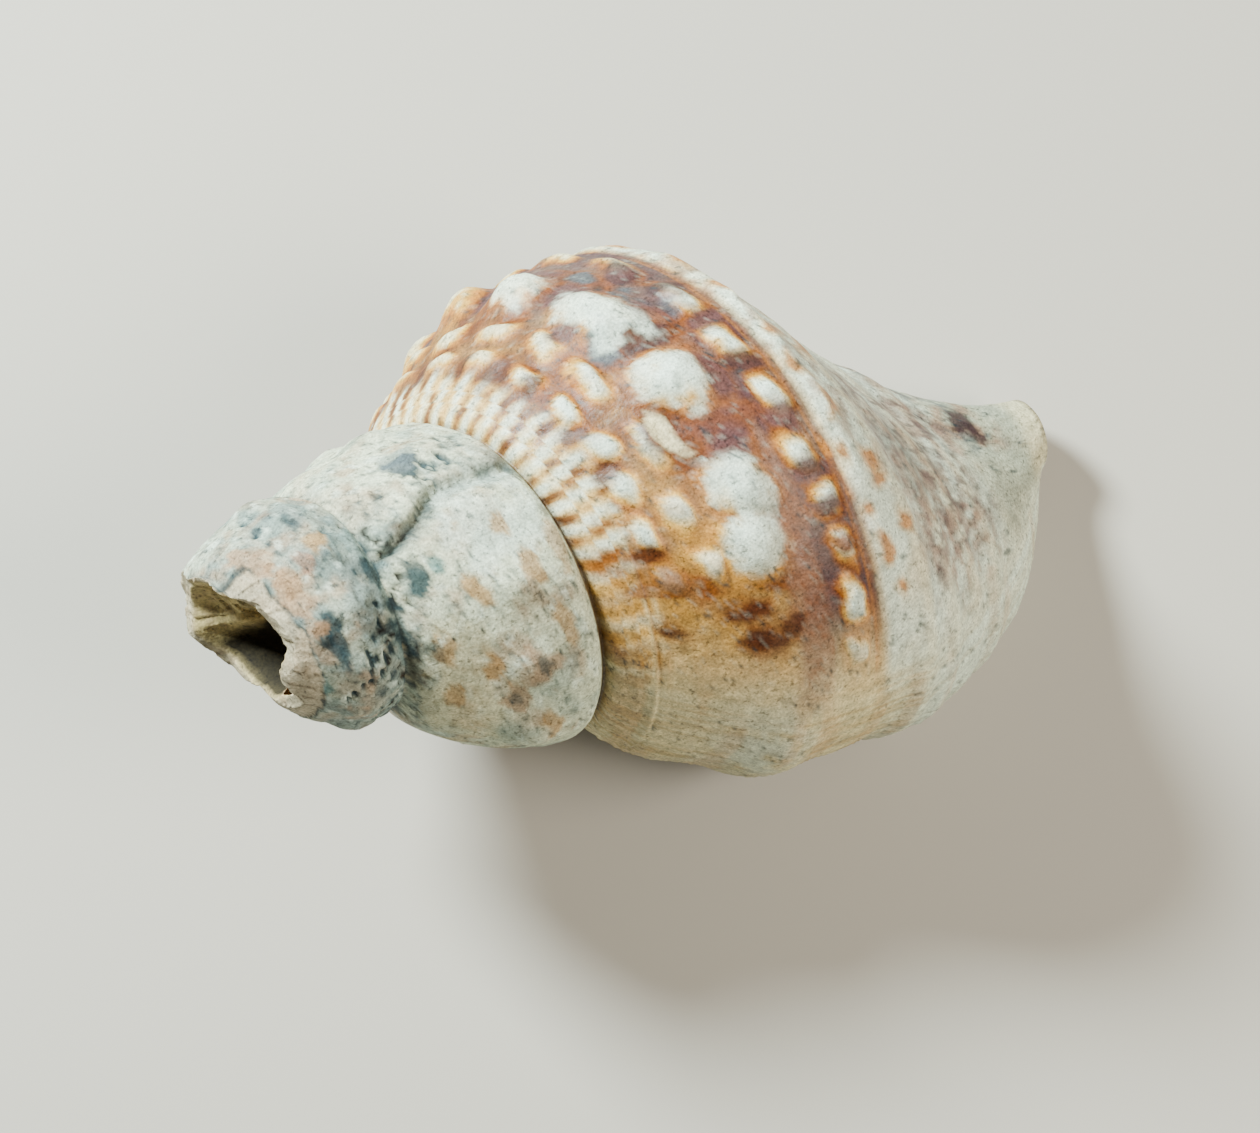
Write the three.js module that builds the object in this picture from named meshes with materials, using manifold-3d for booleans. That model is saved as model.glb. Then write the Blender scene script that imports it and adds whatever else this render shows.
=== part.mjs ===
import * as THREE from 'three';
import Module from 'manifold-3d';
import { mergeVertices } from 'three/addons/utils/BufferGeometryUtils.js';

// A large knobbed sea snail shell with its oldest whorls broken away, lying mouth down.
// It grew as one piece, so it is one closed solid with a hollow that winds through it.
//
// Millimetres. The shell is first described about its own axis and then laid down.
//   a       distance along the axis, from the point where the spire would end, towards the canal
//   r       distance from the axis
//   turn    how far the shell had grown, in turns: 0 at the lip and negative before it
//   across  place across a whorl: 0 at the seam to the older whorl, 1 where the next seam
//           would come, 2 at the tip of the canal

const wasm = await Module();
wasm.setup();

// Spiral: a seam that grows by the same share each turn, with the small drifts of a real shell.
const WHORL_GROWTH = 1.59;
const LIP_SEAM_ALONG = 171.5;
const LIP_SEAM_RADIUS = 67.6;
const LIP_ANGLE = 137.5;
const SEAM_ALONG_DRIFT = [
  [-4, -0.2], [-3, -0.22], [-2.5, -0.22], [-2, -0.13], [-1.5, -0.06],
  [-1, -0.07], [-0.5, -0.03], [0, -0.01], [1, 0],
];
const SEAM_RADIUS_DRIFT = [
  [-4, 0.1], [-3, 0], [-2.5, -0.05], [-2, 0], [-1.5, 0.06], [-1, 0],
  [-0.75, -0.03], [-0.5, -0.13], [-0.25, -0.05], [0, 0], [1, -0.02],
];

// Bulge of a whorl beyond the straight line between its two seams, at the size of the lip.
const BULGE_AT = [0, 0.07, 0.22, 0.42, 0.62, 0.8, 0.93, 1];
const SPIRE_BULGE = [0, 7.2, 11.7, 13.7, 13.7, 12.4, 8.1, 0];
const BODY_BULGE = [0, 5.7, 12.5, 17.5, 18.2, 13.6, 8.3, 5];
const FULLNESS = [
  [-4, 1], [-3, 1.2], [-2.5, 1.3], [-2, 1.3], [-1.5, 0.55], [-1.25, 0.9], [-1, 1.25], [-0.75, 1], [0, 1],
];

// Base of the last whorl: its radius falls from the shoulder (1) to the canal (0).
const BASE_AT = [0, 0.2, 0.4, 0.6, 0.74, 0.88, 1];
const BASE_AT_LIP = [1, 1, 0.89, 0.73, 0.575, 0.31, 0];
const BASE_ON_BACK = [1, 0.66, 0.35, 0.15, 0.06, 0.01, 0];
const BASE_UNDER_LIP = [1, 0.62, 0.36, 0.16, 0.06, 0.01, 0];

const CANAL_TIP_ALONG = 369;
const CANAL_RADIUS = 14;
const CANAL_SWING = 23;
const CANAL_SWING_FROM = 275;
const SPIRE_SWING = new THREE.Vector2(-1.9, -1.5);
const SPIRE_SWING_FROM = 170;
const SPIRE_SWING_LENGTH = 120;

// Walls and hollow.
const FIRST_TURN = -3.75;
const WALL = [[-4, 4], [-2.2, 4], [-1.7, 3], [-0.4, 3.4], [0, 4.6]];
const HOLLOW_FROM = -2.3;
const COLUMELLA_GLAZE = 1.5;
const SMALLEST_GAP = 0.8;
const HOLLOW_PAST_LIP = 0.03;
const GROOVE_RADIUS = 7.5;
const GROOVE_OFFSET = 8;
const GROOVE_ANGLE = 165;
const GROOVE_START = 314;

// Broken end of the spire: a slanted, jagged rim round a pit that opens into the hollow.
const BREAK_ALONG = 51.3;
const BREAK_SLANT = 10.5;
const BREAK_LOW_SIDE = 131;
const BREAK_TEETH = [[3, 44, 2], [5, 114, 1.4], [8, 19, 1]];
const BREAK_RADIUS = 26;
const BREAK_RADIUS_SLANT = 4.5;
const PIT_DEPTHS = [[0.15, 22], [0.45, 21], [0.66, 15], [0.78, 4], [0.88, 0.5], [1, 0], [2.4, 0]];
const PIT_SHALLOW_SIDE = 290;
const PIT_SHALLOW_SHARE = 0.35;

// Knobs in spiral rows. Each knob: turn, across, half length along the spiral in turns,
// half width across, height.
const KEEL_KNOBS = [
  [-0.941, 0.52, 0.022, 0.1, 5], [-0.871, 0.52, 0.022, 0.1, 5.5], [-0.806, 0.52, 0.022, 0.1, 6],
  [-0.741, 0.52, 0.022, 0.1, 6.5], [-0.676, 0.52, 0.022, 0.1, 7], [-0.611, 0.52, 0.022, 0.1, 7.5],
  [-0.546, 0.51, 0.022, 0.1, 7.5], [-0.481, 0.5, 0.022, 0.1, 7.5], [-0.406, 0.51, 0.027, 0.11, 7.5],
  [-0.346, 0.53, 0.019, 0.1, 6.5], [-0.273, 0.53, 0.019, 0.09, 5], [-0.236, 0.48, 0.02, 0.1, 4.5],
  [-0.101, 0.46, 0.035, 0.14, 5], [-0.023, 0.56, 0.016, 0.08, 5],
];
const SECOND_ROW = {
  across: 0.79, width: 0.055, height: 3.2,
  turns: [
    -0.851, -0.791, -0.731, -0.671, -0.611, -0.551, -0.496, -0.446,
    -0.396, -0.351, -0.314, -0.281, -0.251, -0.221, -0.191, -0.161,
  ],
};
const UPPER_ROW = {
  across: 0.33, width: 0.05, height: 3.3,
  turns: [
    -0.871, -0.811, -0.751, -0.691, -0.631, -0.576, -0.521,
    -0.466, -0.416, -0.371, -0.311, -0.266, -0.226,
  ],
};
const SEAM_ROW = {
  across: 0.2, width: 0.045, height: 2.8,
  turns: [
    -0.891, -0.831, -0.771, -0.721, -0.671, -0.621, -0.566, -0.511,
    -0.456, -0.406, -0.361, -0.326, -0.291, -0.256, -0.221,
  ],
};
const THIRD_ROW = {
  across: 0.97, width: 0.05, height: 1.6,
  turns: [
    -0.731, -0.671, -0.611, -0.551, -0.491, -0.436, -0.386, -0.341, -0.301, -0.261, -0.221,
  ],
};
const ROW_KNOB_SPACING = 0.06;
const ROW_END_SPACING = 0.035;
const ROW_KNOB_SHARE = 0.42;
const SPIRE_KNOB_SPACING = 0.085;
const SPIRE_KNOB = { across: 0.6, length: 0.026, width: 0.17, height: 3.4, from: -2.6, to: -1.05 };

// Raised cords beside the seam of the last whorl, and spiral ridges on its base.
const CORDS = { first: 0.045, pitch: 0.045, count: 3, height: 1.3, from: -0.75 };
const BASE_RIDGES = { first: 1.12, pitch: 0.14, count: 4, height: 1.5 };

// An old lip left as a ridge across the whorl before the last.
const OLD_LIP = { turnAtSeam: -1.31, turnAtEnd: -1.36, length: 0.02, rise: 3.4 };

// Mesh rows along the spiral and across a whorl.
const ROWS_LAST_TURN = 64;
const ROWS_OLDER_TURN = 28;
const ACROSS_RAMP = [
  0, 0.022, 0.045, 0.067, 0.09, 0.112, 0.135, 0.17, 0.2, 0.26, 0.33, 0.42, 0.51, 0.6, 0.69, 0.79,
  0.88, 0.94, 1,
];
const ACROSS_RAMP_SPIRE = [0, 0.045, 0.112, 0.2, 0.33, 0.51, 0.6, 0.69, 0.79, 0.88, 0.94, 1];
const BASE_COLUMNS = 11;
const HOLLOW_ROWS_PER_TURN = 22;
const HOLLOW_STATIONS = 8;

// Resting pose on the lip, the belly of the last whorl and the canal, with the spots that it
// rests on worn flat.
const REST_PITCH = 25.5;
const REST_ROLL = -27.7;
const REST_YAW = 12.5;
const REST_SHIFT = new THREE.Vector3(-191.8, 9.7, 142.6);

function ease(x) {
  const share = Math.min(Math.max(x, 0), 1);
  return share * share * (3 - 2 * share);
}

// Smooth curve through the knots [x, y].
function curve(knots, x) {
  const last = knots.length - 1;
  let i = 0;
  while (i < last - 1 && x >= knots[i + 1][0]) i += 1;
  const secant = (from, to) => (knots[to][1] - knots[from][1]) / (knots[to][0] - knots[from][0]);
  const slope = (at) => secant(Math.max(at - 1, 0), Math.min(at + 1, last));
  const span = knots[i + 1][0] - knots[i][0];
  const t = (x - knots[i][0]) / span;
  const t2 = t * t;
  const t3 = t2 * t;
  return (2 * t3 - 3 * t2 + 1) * knots[i][1] + (t3 - 2 * t2 + t) * span * slope(i)
    + (3 * t2 - 2 * t3) * knots[i + 1][1] + (t3 - t2) * span * slope(i + 1);
}

const pair = (xs, ys) => xs.map((x, i) => [x, ys[i]]);

function seam(turn) {
  const growth = WHORL_GROWTH ** turn;
  return {
    a: LIP_SEAM_ALONG * growth * (1 + curve(SEAM_ALONG_DRIFT, turn)),
    r: LIP_SEAM_RADIUS * growth * (1 + curve(SEAM_RADIUS_DRIFT, turn)),
  };
}

// The part of a whorl between its seam and the next one.
function ramp(turn, across) {
  const start = seam(turn);
  const end = seam(turn + 1);
  const body = ease((turn + 1.25) / 0.5);
  const open = ease((turn + 0.98) / 0.35);
  const full = curve(FULLNESS, turn);
  const bulges = SPIRE_BULGE.map((spire, i) => full * ((1 - body) * spire + body * BODY_BULGE[i]));
  bulges[bulges.length - 1] = open * BODY_BULGE[BODY_BULGE.length - 1];
  const bulge = curve(pair(BULGE_AT, bulges), across);
  return {
    a: start.a + (end.a - start.a) * across,
    r: start.r + (end.r - start.r) * across + WHORL_GROWTH ** turn * bulge,
  };
}

// The part of a whorl that runs on from there to the tip of the canal. Older whorls, whose base
// is covered by the newer one, had a canal that was shorter by their share of growth.
function base(turn, down) {
  const start = ramp(turn, 1);
  const growth = Math.min(WHORL_GROWTH ** (turn + 1), 1);
  const tip = turn > -1 ? CANAL_TIP_ALONG : start.a + (CANAL_TIP_ALONG - seam(0).a) * growth;
  const columella = CANAL_RADIUS * growth;
  const flare = ease((turn + 0.45 - 0.22 * down) / (0.4 - 0.15 * down));
  const back = ease((turn + 1) / 0.45);
  const atLip = curve(pair(BASE_AT, BASE_AT_LIP), down);
  const onBack = curve(pair(BASE_AT, BASE_ON_BACK), down);
  const underLip = curve(pair(BASE_AT, BASE_UNDER_LIP), down);
  const fall = (1 - flare) * ((1 - back) * underLip + back * onBack) + flare * atLip;
  return {
    a: start.a + (tip - start.a) * down,
    r: columella + (start.r - columella) * fall,
  };
}

const whorl = (turn, across) => (across <= 1 ? ramp(turn, across) : base(turn, across - 1));

// The radius of that covered base at a given place along the axis.
function coveredRadius(turn, a) {
  const start = seam(turn + 1);
  const growth = WHORL_GROWTH ** (turn + 1);
  const length = (CANAL_TIP_ALONG - seam(0).a) * growth;
  const down = Math.min(Math.max((a - start.a) / length, 0), 1);
  const columella = CANAL_RADIUS * growth;
  return columella + (start.r - columella) * curve(pair(BASE_AT, BASE_UNDER_LIP), down);
}

function hump(distance, half) {
  const share = Math.abs(distance) / half;
  return share < 1.6 ? Math.exp(-1.6 * share ** 2.4) : 0;
}

function cords(across, row) {
  const index = Math.round((across - row.first) / row.pitch);
  if (index < 0 || index >= row.count) return 0;
  return row.height * hump(across - row.first - index * row.pitch, row.pitch * 0.4);
}

function knobRows(turn, across) {
  let height = 0;
  for (const [at, place, length, width, tall] of KEEL_KNOBS) {
    height = Math.max(height, tall * hump(turn - at, length) * hump(across - place, width));
  }
  for (const row of [SECOND_ROW, UPPER_ROW, SEAM_ROW, THIRD_ROW]) {
    row.turns.forEach((at, i) => {
      const before = at - (row.turns[i - 1] ?? at - ROW_KNOB_SPACING);
      const after = (row.turns[i + 1] ?? at + ROW_END_SPACING) - at;
      const length = Math.min(before, after) * ROW_KNOB_SHARE;
      const knob = hump(turn - at, length) * hump(across - row.across, row.width);
      height = Math.max(height, row.height * knob);
    });
  }
  return height;
}

function spireKnobs(turn, across) {
  const index = Math.round((turn - SPIRE_KNOB.from) / SPIRE_KNOB_SPACING);
  const at = SPIRE_KNOB.from + index * SPIRE_KNOB_SPACING;
  if (at < SPIRE_KNOB.from || at > SPIRE_KNOB.to) return 0;
  const growth = WHORL_GROWTH ** (turn + 1);
  const knob = hump(turn - at, SPIRE_KNOB.length) * hump(across - SPIRE_KNOB.across, SPIRE_KNOB.width);
  return SPIRE_KNOB.height * growth * knob;
}

function oldLip(turn, across) {
  const at = OLD_LIP.turnAtSeam + (OLD_LIP.turnAtEnd - OLD_LIP.turnAtSeam) * Math.min(across * 2, 1);
  const before = turn < at ? hump(turn - at, OLD_LIP.length * 3) : hump(turn - at, OLD_LIP.length * 0.5);
  return OLD_LIP.rise * before * ease(across * 8) * ease((1 - across) * 8);
}

function relief(turn, across) {
  if (turn < -1) return spireKnobs(turn, across) + oldLip(turn, across);
  const fromSeam = ease(across / 0.03);
  const fromOldWhorl = ease((turn + 1) / 0.06);
  const alongCords = ease((turn - CORDS.from) / 0.1);
  const ridges = across > 1 ? cords(across, BASE_RIDGES) * ease((turn + 0.9) / 0.2) : 0;
  return fromSeam * fromOldWhorl * (knobRows(turn, across) + cords(across, CORDS) * alongCords + ridges);
}

// From the shell's own axis to the place where it lies.
function bend(a, y, z) {
  const canal = ease((a - CANAL_SWING_FROM) / (CANAL_TIP_ALONG - CANAL_SWING_FROM));
  const spire = Math.min(Math.max((SPIRE_SWING_FROM - a) / SPIRE_SWING_LENGTH, 0), 1.2) ** 2;
  return new THREE.Vector3(a, y - CANAL_SWING * canal + SPIRE_SWING.x * spire, z + SPIRE_SWING.y * spire);
}

function place(a, r, degrees) {
  const angle = THREE.MathUtils.degToRad(degrees);
  return bend(a, -r * Math.sin(angle), r * Math.cos(angle));
}

function outside(turn, across) {
  const { a, r } = whorl(turn, across);
  return place(a, r + relief(turn, across), LIP_ANGLE + 360 * turn);
}

function steps(from, to, count) {
  return Array.from({ length: count + 1 }, (_, i) => from + (to - from) * i / count);
}

function middle(points) {
  const sum = points.reduce((total, point) => total.add(point), new THREE.Vector3());
  return sum.divideScalar(points.length);
}

// Triangles between two rows of points, each with a rising number for every point.
function stitch(faces, rowA, atA, rowB, atB) {
  let i = 0;
  let j = 0;
  while (i < rowA.length - 1 || j < rowB.length - 1) {
    const nextA = i < rowA.length - 1 ? atA[i + 1] : Infinity;
    const nextB = j < rowB.length - 1 ? atB[j + 1] : Infinity;
    if (nextA <= nextB) {
      faces.push([rowA[i], rowA[i + 1], rowB[j]]);
      i += 1;
    } else {
      faces.push([rowA[i], rowB[j + 1], rowB[j]]);
      j += 1;
    }
  }
}

function fan(faces, centre, row) {
  for (let i = 0; i < row.length - 1; i += 1) faces.push([centre, row[i], row[i + 1]]);
}

// A closed solid from loose triangles.
function solidOf(faces) {
  const loose = new THREE.BufferGeometry();
  const points = faces.flat().flatMap((point) => point.toArray());
  loose.setAttribute('position', new THREE.Float32BufferAttribute(points, 3));
  const merged = mergeVertices(loose, 0.001);
  const index = Array.from(merged.index.array);
  const corners = [];
  for (let i = 0; i < index.length; i += 3) {
    const [p, q, s] = index.slice(i, i + 3);
    if (p !== q && q !== s && s !== p) corners.push(p, q, s);
  }
  const at = merged.attributes.position;
  let volume = 0;
  for (let i = 0; i < corners.length; i += 3) {
    const [p, q, s] = corners.slice(i, i + 3).map((k) => new THREE.Vector3().fromBufferAttribute(at, k));
    volume += p.dot(q.cross(s)) / 6;
  }
  if (volume < 0) corners.reverse();
  return new wasm.Manifold(new wasm.Mesh({
    numProp: 3,
    vertProperties: new Float32Array(at.array),
    triVerts: new Uint32Array(corners),
  }));
}

// The outside of the whole shell, closed at both ends and across the mouth.
function filledShell() {
  const faces = [];
  const older = steps(FIRST_TURN, -1, Math.round((-1 - FIRST_TURN) * ROWS_OLDER_TURN));
  const latest = steps(-1, 0, ROWS_LAST_TURN);
  const covering = [...older, ...latest.slice(1)].filter((turn) => turn >= FIRST_TURN + 1 - 1e-9);
  const next = covering.map((turn) => turn - 1);
  const column = (turns, across) => turns.map((turn) => outside(turn, across));
  const band = (turnsA, acrossA, turnsB, acrossB) => {
    stitch(faces, column(turnsA, acrossA), turnsA, column(turnsB, acrossB), turnsB);
  };
  ACROSS_RAMP_SPIRE.slice(0, -1).forEach((across, i) => {
    const after = ACROSS_RAMP_SPIRE[i + 1];
    band(older, across, after === 1 ? next : older, after);
  });
  ACROSS_RAMP.slice(0, -1).forEach((across, i) => band(latest, across, latest, ACROSS_RAMP[i + 1]));
  const down = steps(1, 2, BASE_COLUMNS);
  down.slice(0, -1).forEach((across, i) => band(latest, across, latest, down[i + 1]));

  // Where the columns change from the spire's to the last whorl's.
  const joinOld = ACROSS_RAMP_SPIRE.map((across) => outside(-1, across));
  const joinNew = ACROSS_RAMP.map((across) => outside(-1, across));
  stitch(faces, joinNew, ACROSS_RAMP, joinOld, ACROSS_RAMP_SPIRE);

  const lip = [...ACROSS_RAMP, ...down.slice(1)].map((across) => outside(0, across));
  const covered = down.map((across) => outside(-1, across));
  const shares = (row) => row.map((_, i) => i / (row.length - 1));
  stitch(faces, covered, shares(covered), lip, shares(lip));

  const tip = column(latest, 2);
  fan(faces, middle(tip), tip);
  const firstEdge = ACROSS_RAMP_SPIRE.map((across) => outside(FIRST_TURN, across));
  const firstSeam = column(older.filter((turn) => turn <= FIRST_TURN + 1 + 1e-9), 0).reverse();
  const apex = place(seam(FIRST_TURN).a - 4, 0, 0);
  fan(faces, apex, firstEdge);
  fan(faces, apex, firstSeam);
  return solidOf(faces);
}

// One cross section of the winding hollow, as a closed loop.
function hollowLoop(turn) {
  const wall = curve(WALL, Math.min(turn, 0));
  const outer = (across) => {
    const here = whorl(turn, across);
    const ahead = whorl(turn, Math.min(across + 0.01, 2));
    const slope = (ahead.r - here.r) / Math.max(ahead.a - here.a, 0.05);
    return { a: here.a, r: here.r - wall * Math.min(Math.hypot(1, slope), 1.8) };
  };
  const inner = (a) => coveredRadius(turn - 1, a) + COLUMELLA_GLAZE;
  const open = steps(0, 2, 400).filter((across) => {
    const point = outer(across);
    return point.r - inner(point.a) > SMALLEST_GAP;
  });
  const from = open[0];
  const to = open[open.length - 1];
  const stations = steps(0, 1, HOLLOW_STATIONS - 1).map((share) => outer(from + (to - from) * ease(share)));
  const degrees = LIP_ANGLE + 360 * turn;
  const top = stations.map(({ a, r }) => place(a, r, degrees));
  const bottom = stations.map(({ a }) => place(a, inner(a), degrees)).reverse();
  return [...top, ...bottom];
}

function windingHollow() {
  const faces = [];
  const turns = steps(HOLLOW_FROM, HOLLOW_PAST_LIP, Math.round(-HOLLOW_FROM * HOLLOW_ROWS_PER_TURN));
  const loops = turns.map(hollowLoop);
  const sides = loops[0].length;
  for (let i = 0; i < sides; i += 1) {
    const j = (i + 1) % sides;
    stitch(faces, loops.map((loop) => loop[i]), turns, loops.map((loop) => loop[j]), turns);
  }
  const first = loops[0];
  const last = loops[loops.length - 1];
  fan(faces, middle(first), [...first, first[0]]);
  fan(faces, middle(last), [...last, last[0]].reverse());
  return solidOf(faces);
}

// The open channel along the underside of the canal.
function canalGroove() {
  const faces = [];
  const along = steps(GROOVE_START, CANAL_TIP_ALONG + 6, 8);
  const around = steps(0, 360, 12);
  const direction = THREE.MathUtils.degToRad(GROOVE_ANGLE);
  const ring = (a) => around.map((degrees) => {
    const angle = THREE.MathUtils.degToRad(degrees);
    const y = -GROOVE_OFFSET * Math.sin(direction) - GROOVE_RADIUS * Math.sin(angle);
    const z = GROOVE_OFFSET * Math.cos(direction) + GROOVE_RADIUS * Math.cos(angle);
    return bend(a, y, z);
  });
  const rings = along.map(ring);
  for (let i = 0; i < rings.length - 1; i += 1) stitch(faces, rings[i], around, rings[i + 1], around);
  fan(faces, middle(rings[0].slice(1)), rings[0].slice().reverse());
  fan(faces, middle(rings[rings.length - 1].slice(1)), rings[rings.length - 1]);
  return solidOf(faces);
}

// What is missing from the spire, as a solid with a jagged face and a plug that leaves a pit.
function brokenAway() {
  const faces = [];
  const around = steps(0, 360, 40);
  const cosine = (degrees) => Math.cos(THREE.MathUtils.degToRad(degrees));
  const teeth = (degrees) => BREAK_TEETH.reduce(
    (sum, [count, phase, height]) => sum + height * cosine(count * (degrees - phase)), 0);
  const ring = ([share, depth]) => around.map((degrees) => {
    const lowSide = cosine(degrees - BREAK_LOW_SIDE);
    const radius = share * (BREAK_RADIUS + BREAK_RADIUS_SLANT * lowSide);
    const shallow = ease(0.5 + 0.8 * cosine(degrees - PIT_SHALLOW_SIDE)) * ease(share * 3);
    const pit = depth * (1 - (1 - PIT_SHALLOW_SHARE) * shallow);
    const jag = teeth(degrees) * Math.min(share, 1.2);
    return place(BREAK_ALONG + BREAK_SLANT * share * lowSide + pit + jag, radius, degrees);
  });
  const rings = PIT_DEPTHS.map(ring);
  const back = around.map((degrees) => place(-60, 60, degrees));
  fan(faces, place(BREAK_ALONG + PIT_DEPTHS[0][1], 0, 0), rings[0]);
  for (let i = 0; i < rings.length - 1; i += 1) stitch(faces, rings[i + 1], around, rings[i], around);
  stitch(faces, back, around, rings[rings.length - 1], around);
  fan(faces, place(-60, 0, 0), back.slice().reverse());
  return solidOf(faces);
}

function geometryOf(solid) {
  const mesh = solid.getMesh();
  const geometry = new THREE.BufferGeometry();
  const points = [];
  for (let i = 0; i < mesh.vertProperties.length; i += mesh.numProp) {
    points.push(mesh.vertProperties[i], mesh.vertProperties[i + 1], mesh.vertProperties[i + 2]);
  }
  geometry.setAttribute('position', new THREE.Float32BufferAttribute(points, 3));
  geometry.setIndex(Array.from(mesh.triVerts));
  return geometry;
}

// Everything below the resting plane, as a flat block.
function floorBlock() {
  const block = new THREE.BoxGeometry(800, 800, 800).translate(0, 0, -400);
  const faces = [];
  const loose = block.toNonIndexed().attributes.position;
  for (let i = 0; i < loose.count; i += 3) {
    faces.push([0, 1, 2].map((k) => new THREE.Vector3().fromBufferAttribute(loose, i + k)));
  }
  return solidOf(faces);
}

// Lays the shell down with its middle over the origin and wears its lowest spots flat.
function laidDown(solid) {
  const turned = geometryOf(solid);
  turned.rotateY(THREE.MathUtils.degToRad(REST_PITCH));
  turned.rotateX(THREE.MathUtils.degToRad(REST_ROLL));
  turned.rotateZ(THREE.MathUtils.degToRad(REST_YAW));
  turned.translate(REST_SHIFT.x, REST_SHIFT.y, REST_SHIFT.z);
  const faces = [];
  const at = turned.attributes.position;
  const index = turned.index.array;
  for (let i = 0; i < index.length; i += 3) {
    faces.push([0, 1, 2].map((k) => new THREE.Vector3().fromBufferAttribute(at, index[i + k])));
  }
  return solidOf(faces).subtract(floorBlock());
}

// The largest piece that the break leaves: loose crumbs of the oldest whorls have fallen away.
function unbrokenPiece(solid) {
  return solid.decompose().reduce((largest, piece) => (piece.volume() > largest.volume() ? piece : largest));
}

const hollowShell = filledShell().subtract(windingHollow()).subtract(canalGroove());
const shellSolid = unbrokenPiece(hollowShell.subtract(brokenAway()));

const chalkyShell = new THREE.MeshStandardMaterial({ color: 0xd8cdb8, roughness: 0.6, metalness: 0 });
const shell = new THREE.Mesh(geometryOf(laidDown(shellSolid)), chalkyShell);
shell.name = 'triton_shell';

const part = new THREE.Group();
part.add(shell);

export default part;
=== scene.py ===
"""A large knobbed sea snail shell with a broken spire, lying mouth down.

The shell is one closed solid. Its outside, its winding hollow, the channel in its canal and the
break in its spire are built from the same growth rule and cut from each other.

  a       distance along the shell's axis in mm, from where the spire would end to the canal
  r       distance from the axis in mm
  turn    how far the shell had grown: 0 at the lip and negative before it
  across  place across a whorl: 0 at the seam to the older whorl, 1 where the next seam would
          come, 2 at the tip of the canal
"""
import math

import bpy
import numpy as np
from mathutils import Matrix, Vector
from mathutils.kdtree import KDTree


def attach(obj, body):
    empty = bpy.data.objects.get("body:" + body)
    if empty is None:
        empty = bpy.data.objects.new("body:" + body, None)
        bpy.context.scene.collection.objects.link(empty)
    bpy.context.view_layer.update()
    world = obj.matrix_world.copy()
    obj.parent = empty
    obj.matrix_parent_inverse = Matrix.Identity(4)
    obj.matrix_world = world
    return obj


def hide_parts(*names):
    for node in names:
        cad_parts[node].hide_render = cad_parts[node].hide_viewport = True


# Spiral and profile of the whorls.
WHORL_GROWTH = 1.59
LIP_SEAM_ALONG = 171.5
LIP_SEAM_RADIUS = 67.6
LIP_ANGLE = 137.5
SEAM_ALONG_DRIFT = [
    (-4, -0.2), (-3, -0.22), (-2.5, -0.22), (-2, -0.13), (-1.5, -0.06),
    (-1, -0.07), (-0.5, -0.03), (0, -0.01), (1, 0),
]
SEAM_RADIUS_DRIFT = [
    (-4, 0.1), (-3, 0), (-2.5, -0.05), (-2, 0), (-1.5, 0.06), (-1, 0),
    (-0.75, -0.03), (-0.5, -0.13), (-0.25, -0.05), (0, 0), (1, -0.02),
]
BULGE_AT = [0, 0.07, 0.22, 0.42, 0.62, 0.8, 0.93, 1]
SPIRE_BULGE = [0, 7.2, 11.7, 13.7, 13.7, 12.4, 8.1, 0]
BODY_BULGE = [0, 5.7, 12.5, 17.5, 18.2, 13.6, 8.3, 5]
FULLNESS = [
    (-4, 1), (-3, 1.2), (-2.5, 1.3), (-2, 1.3), (-1.5, 0.55), (-1.25, 0.9), (-1, 1.25), (-0.75, 1), (0, 1),
]
BASE_AT = [0, 0.2, 0.4, 0.6, 0.74, 0.88, 1]
BASE_AT_LIP = [1, 1, 0.89, 0.73, 0.575, 0.31, 0]
BASE_ON_BACK = [1, 0.66, 0.35, 0.15, 0.06, 0.01, 0]
BASE_UNDER_LIP = [1, 0.62, 0.36, 0.16, 0.06, 0.01, 0]
CANAL_TIP_ALONG = 369
CANAL_RADIUS = 14
CANAL_SWING = 23
CANAL_SWING_FROM = 275
SPIRE_SWING = (-1.9, -1.5)
SPIRE_SWING_FROM = 170
SPIRE_SWING_LENGTH = 120
LIP_TUCK = 5
LIP_TUCK_LENGTH = 0.14

# Walls, hollow and canal channel.
FIRST_TURN = -3.75
WALL = [(-4, 4), (-2.2, 4), (-1.7, 3), (-0.4, 3.4), (0, 4.6)]
HOLLOW_FROM = -2.25
COLUMELLA_GLAZE = 1.5
SMALLEST_GAP = 0.8
HOLLOW_PAST_LIP = 0.03
GROOVE_RADIUS = 7.5
GROOVE_OFFSET = 8
GROOVE_ANGLE = 165
GROOVE_START = 314

# Broken end of the spire.
BREAK_ALONG = 51.3
BREAK_SLANT = 10.5
BREAK_LOW_SIDE = 131
BREAK_TEETH = [(3, 44, 2), (5, 114, 1.4), (8, 19, 1)]
BREAK_RADIUS = 26
BREAK_RADIUS_SLANT = 4.5
PIT_DEPTHS = [(0.15, 22), (0.45, 21), (0.68, 16), (0.78, 8), (0.86, 1), (0.94, 0), (1, 0), (2.4, 0)]
PIT_SHALLOW_SIDE = 290
PIT_SHALLOW_SHARE = 0.35
BEYOND_SPIRE = -60.0
PLUG_RADIUS = 60.0
SEPTUM_REACH = 0.92
PEEL_LENGTH = 7.5
PEEL_DEPTH = 0.9
PEEL_CRACK = 11
HOLE_REACH = 0.88

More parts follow.
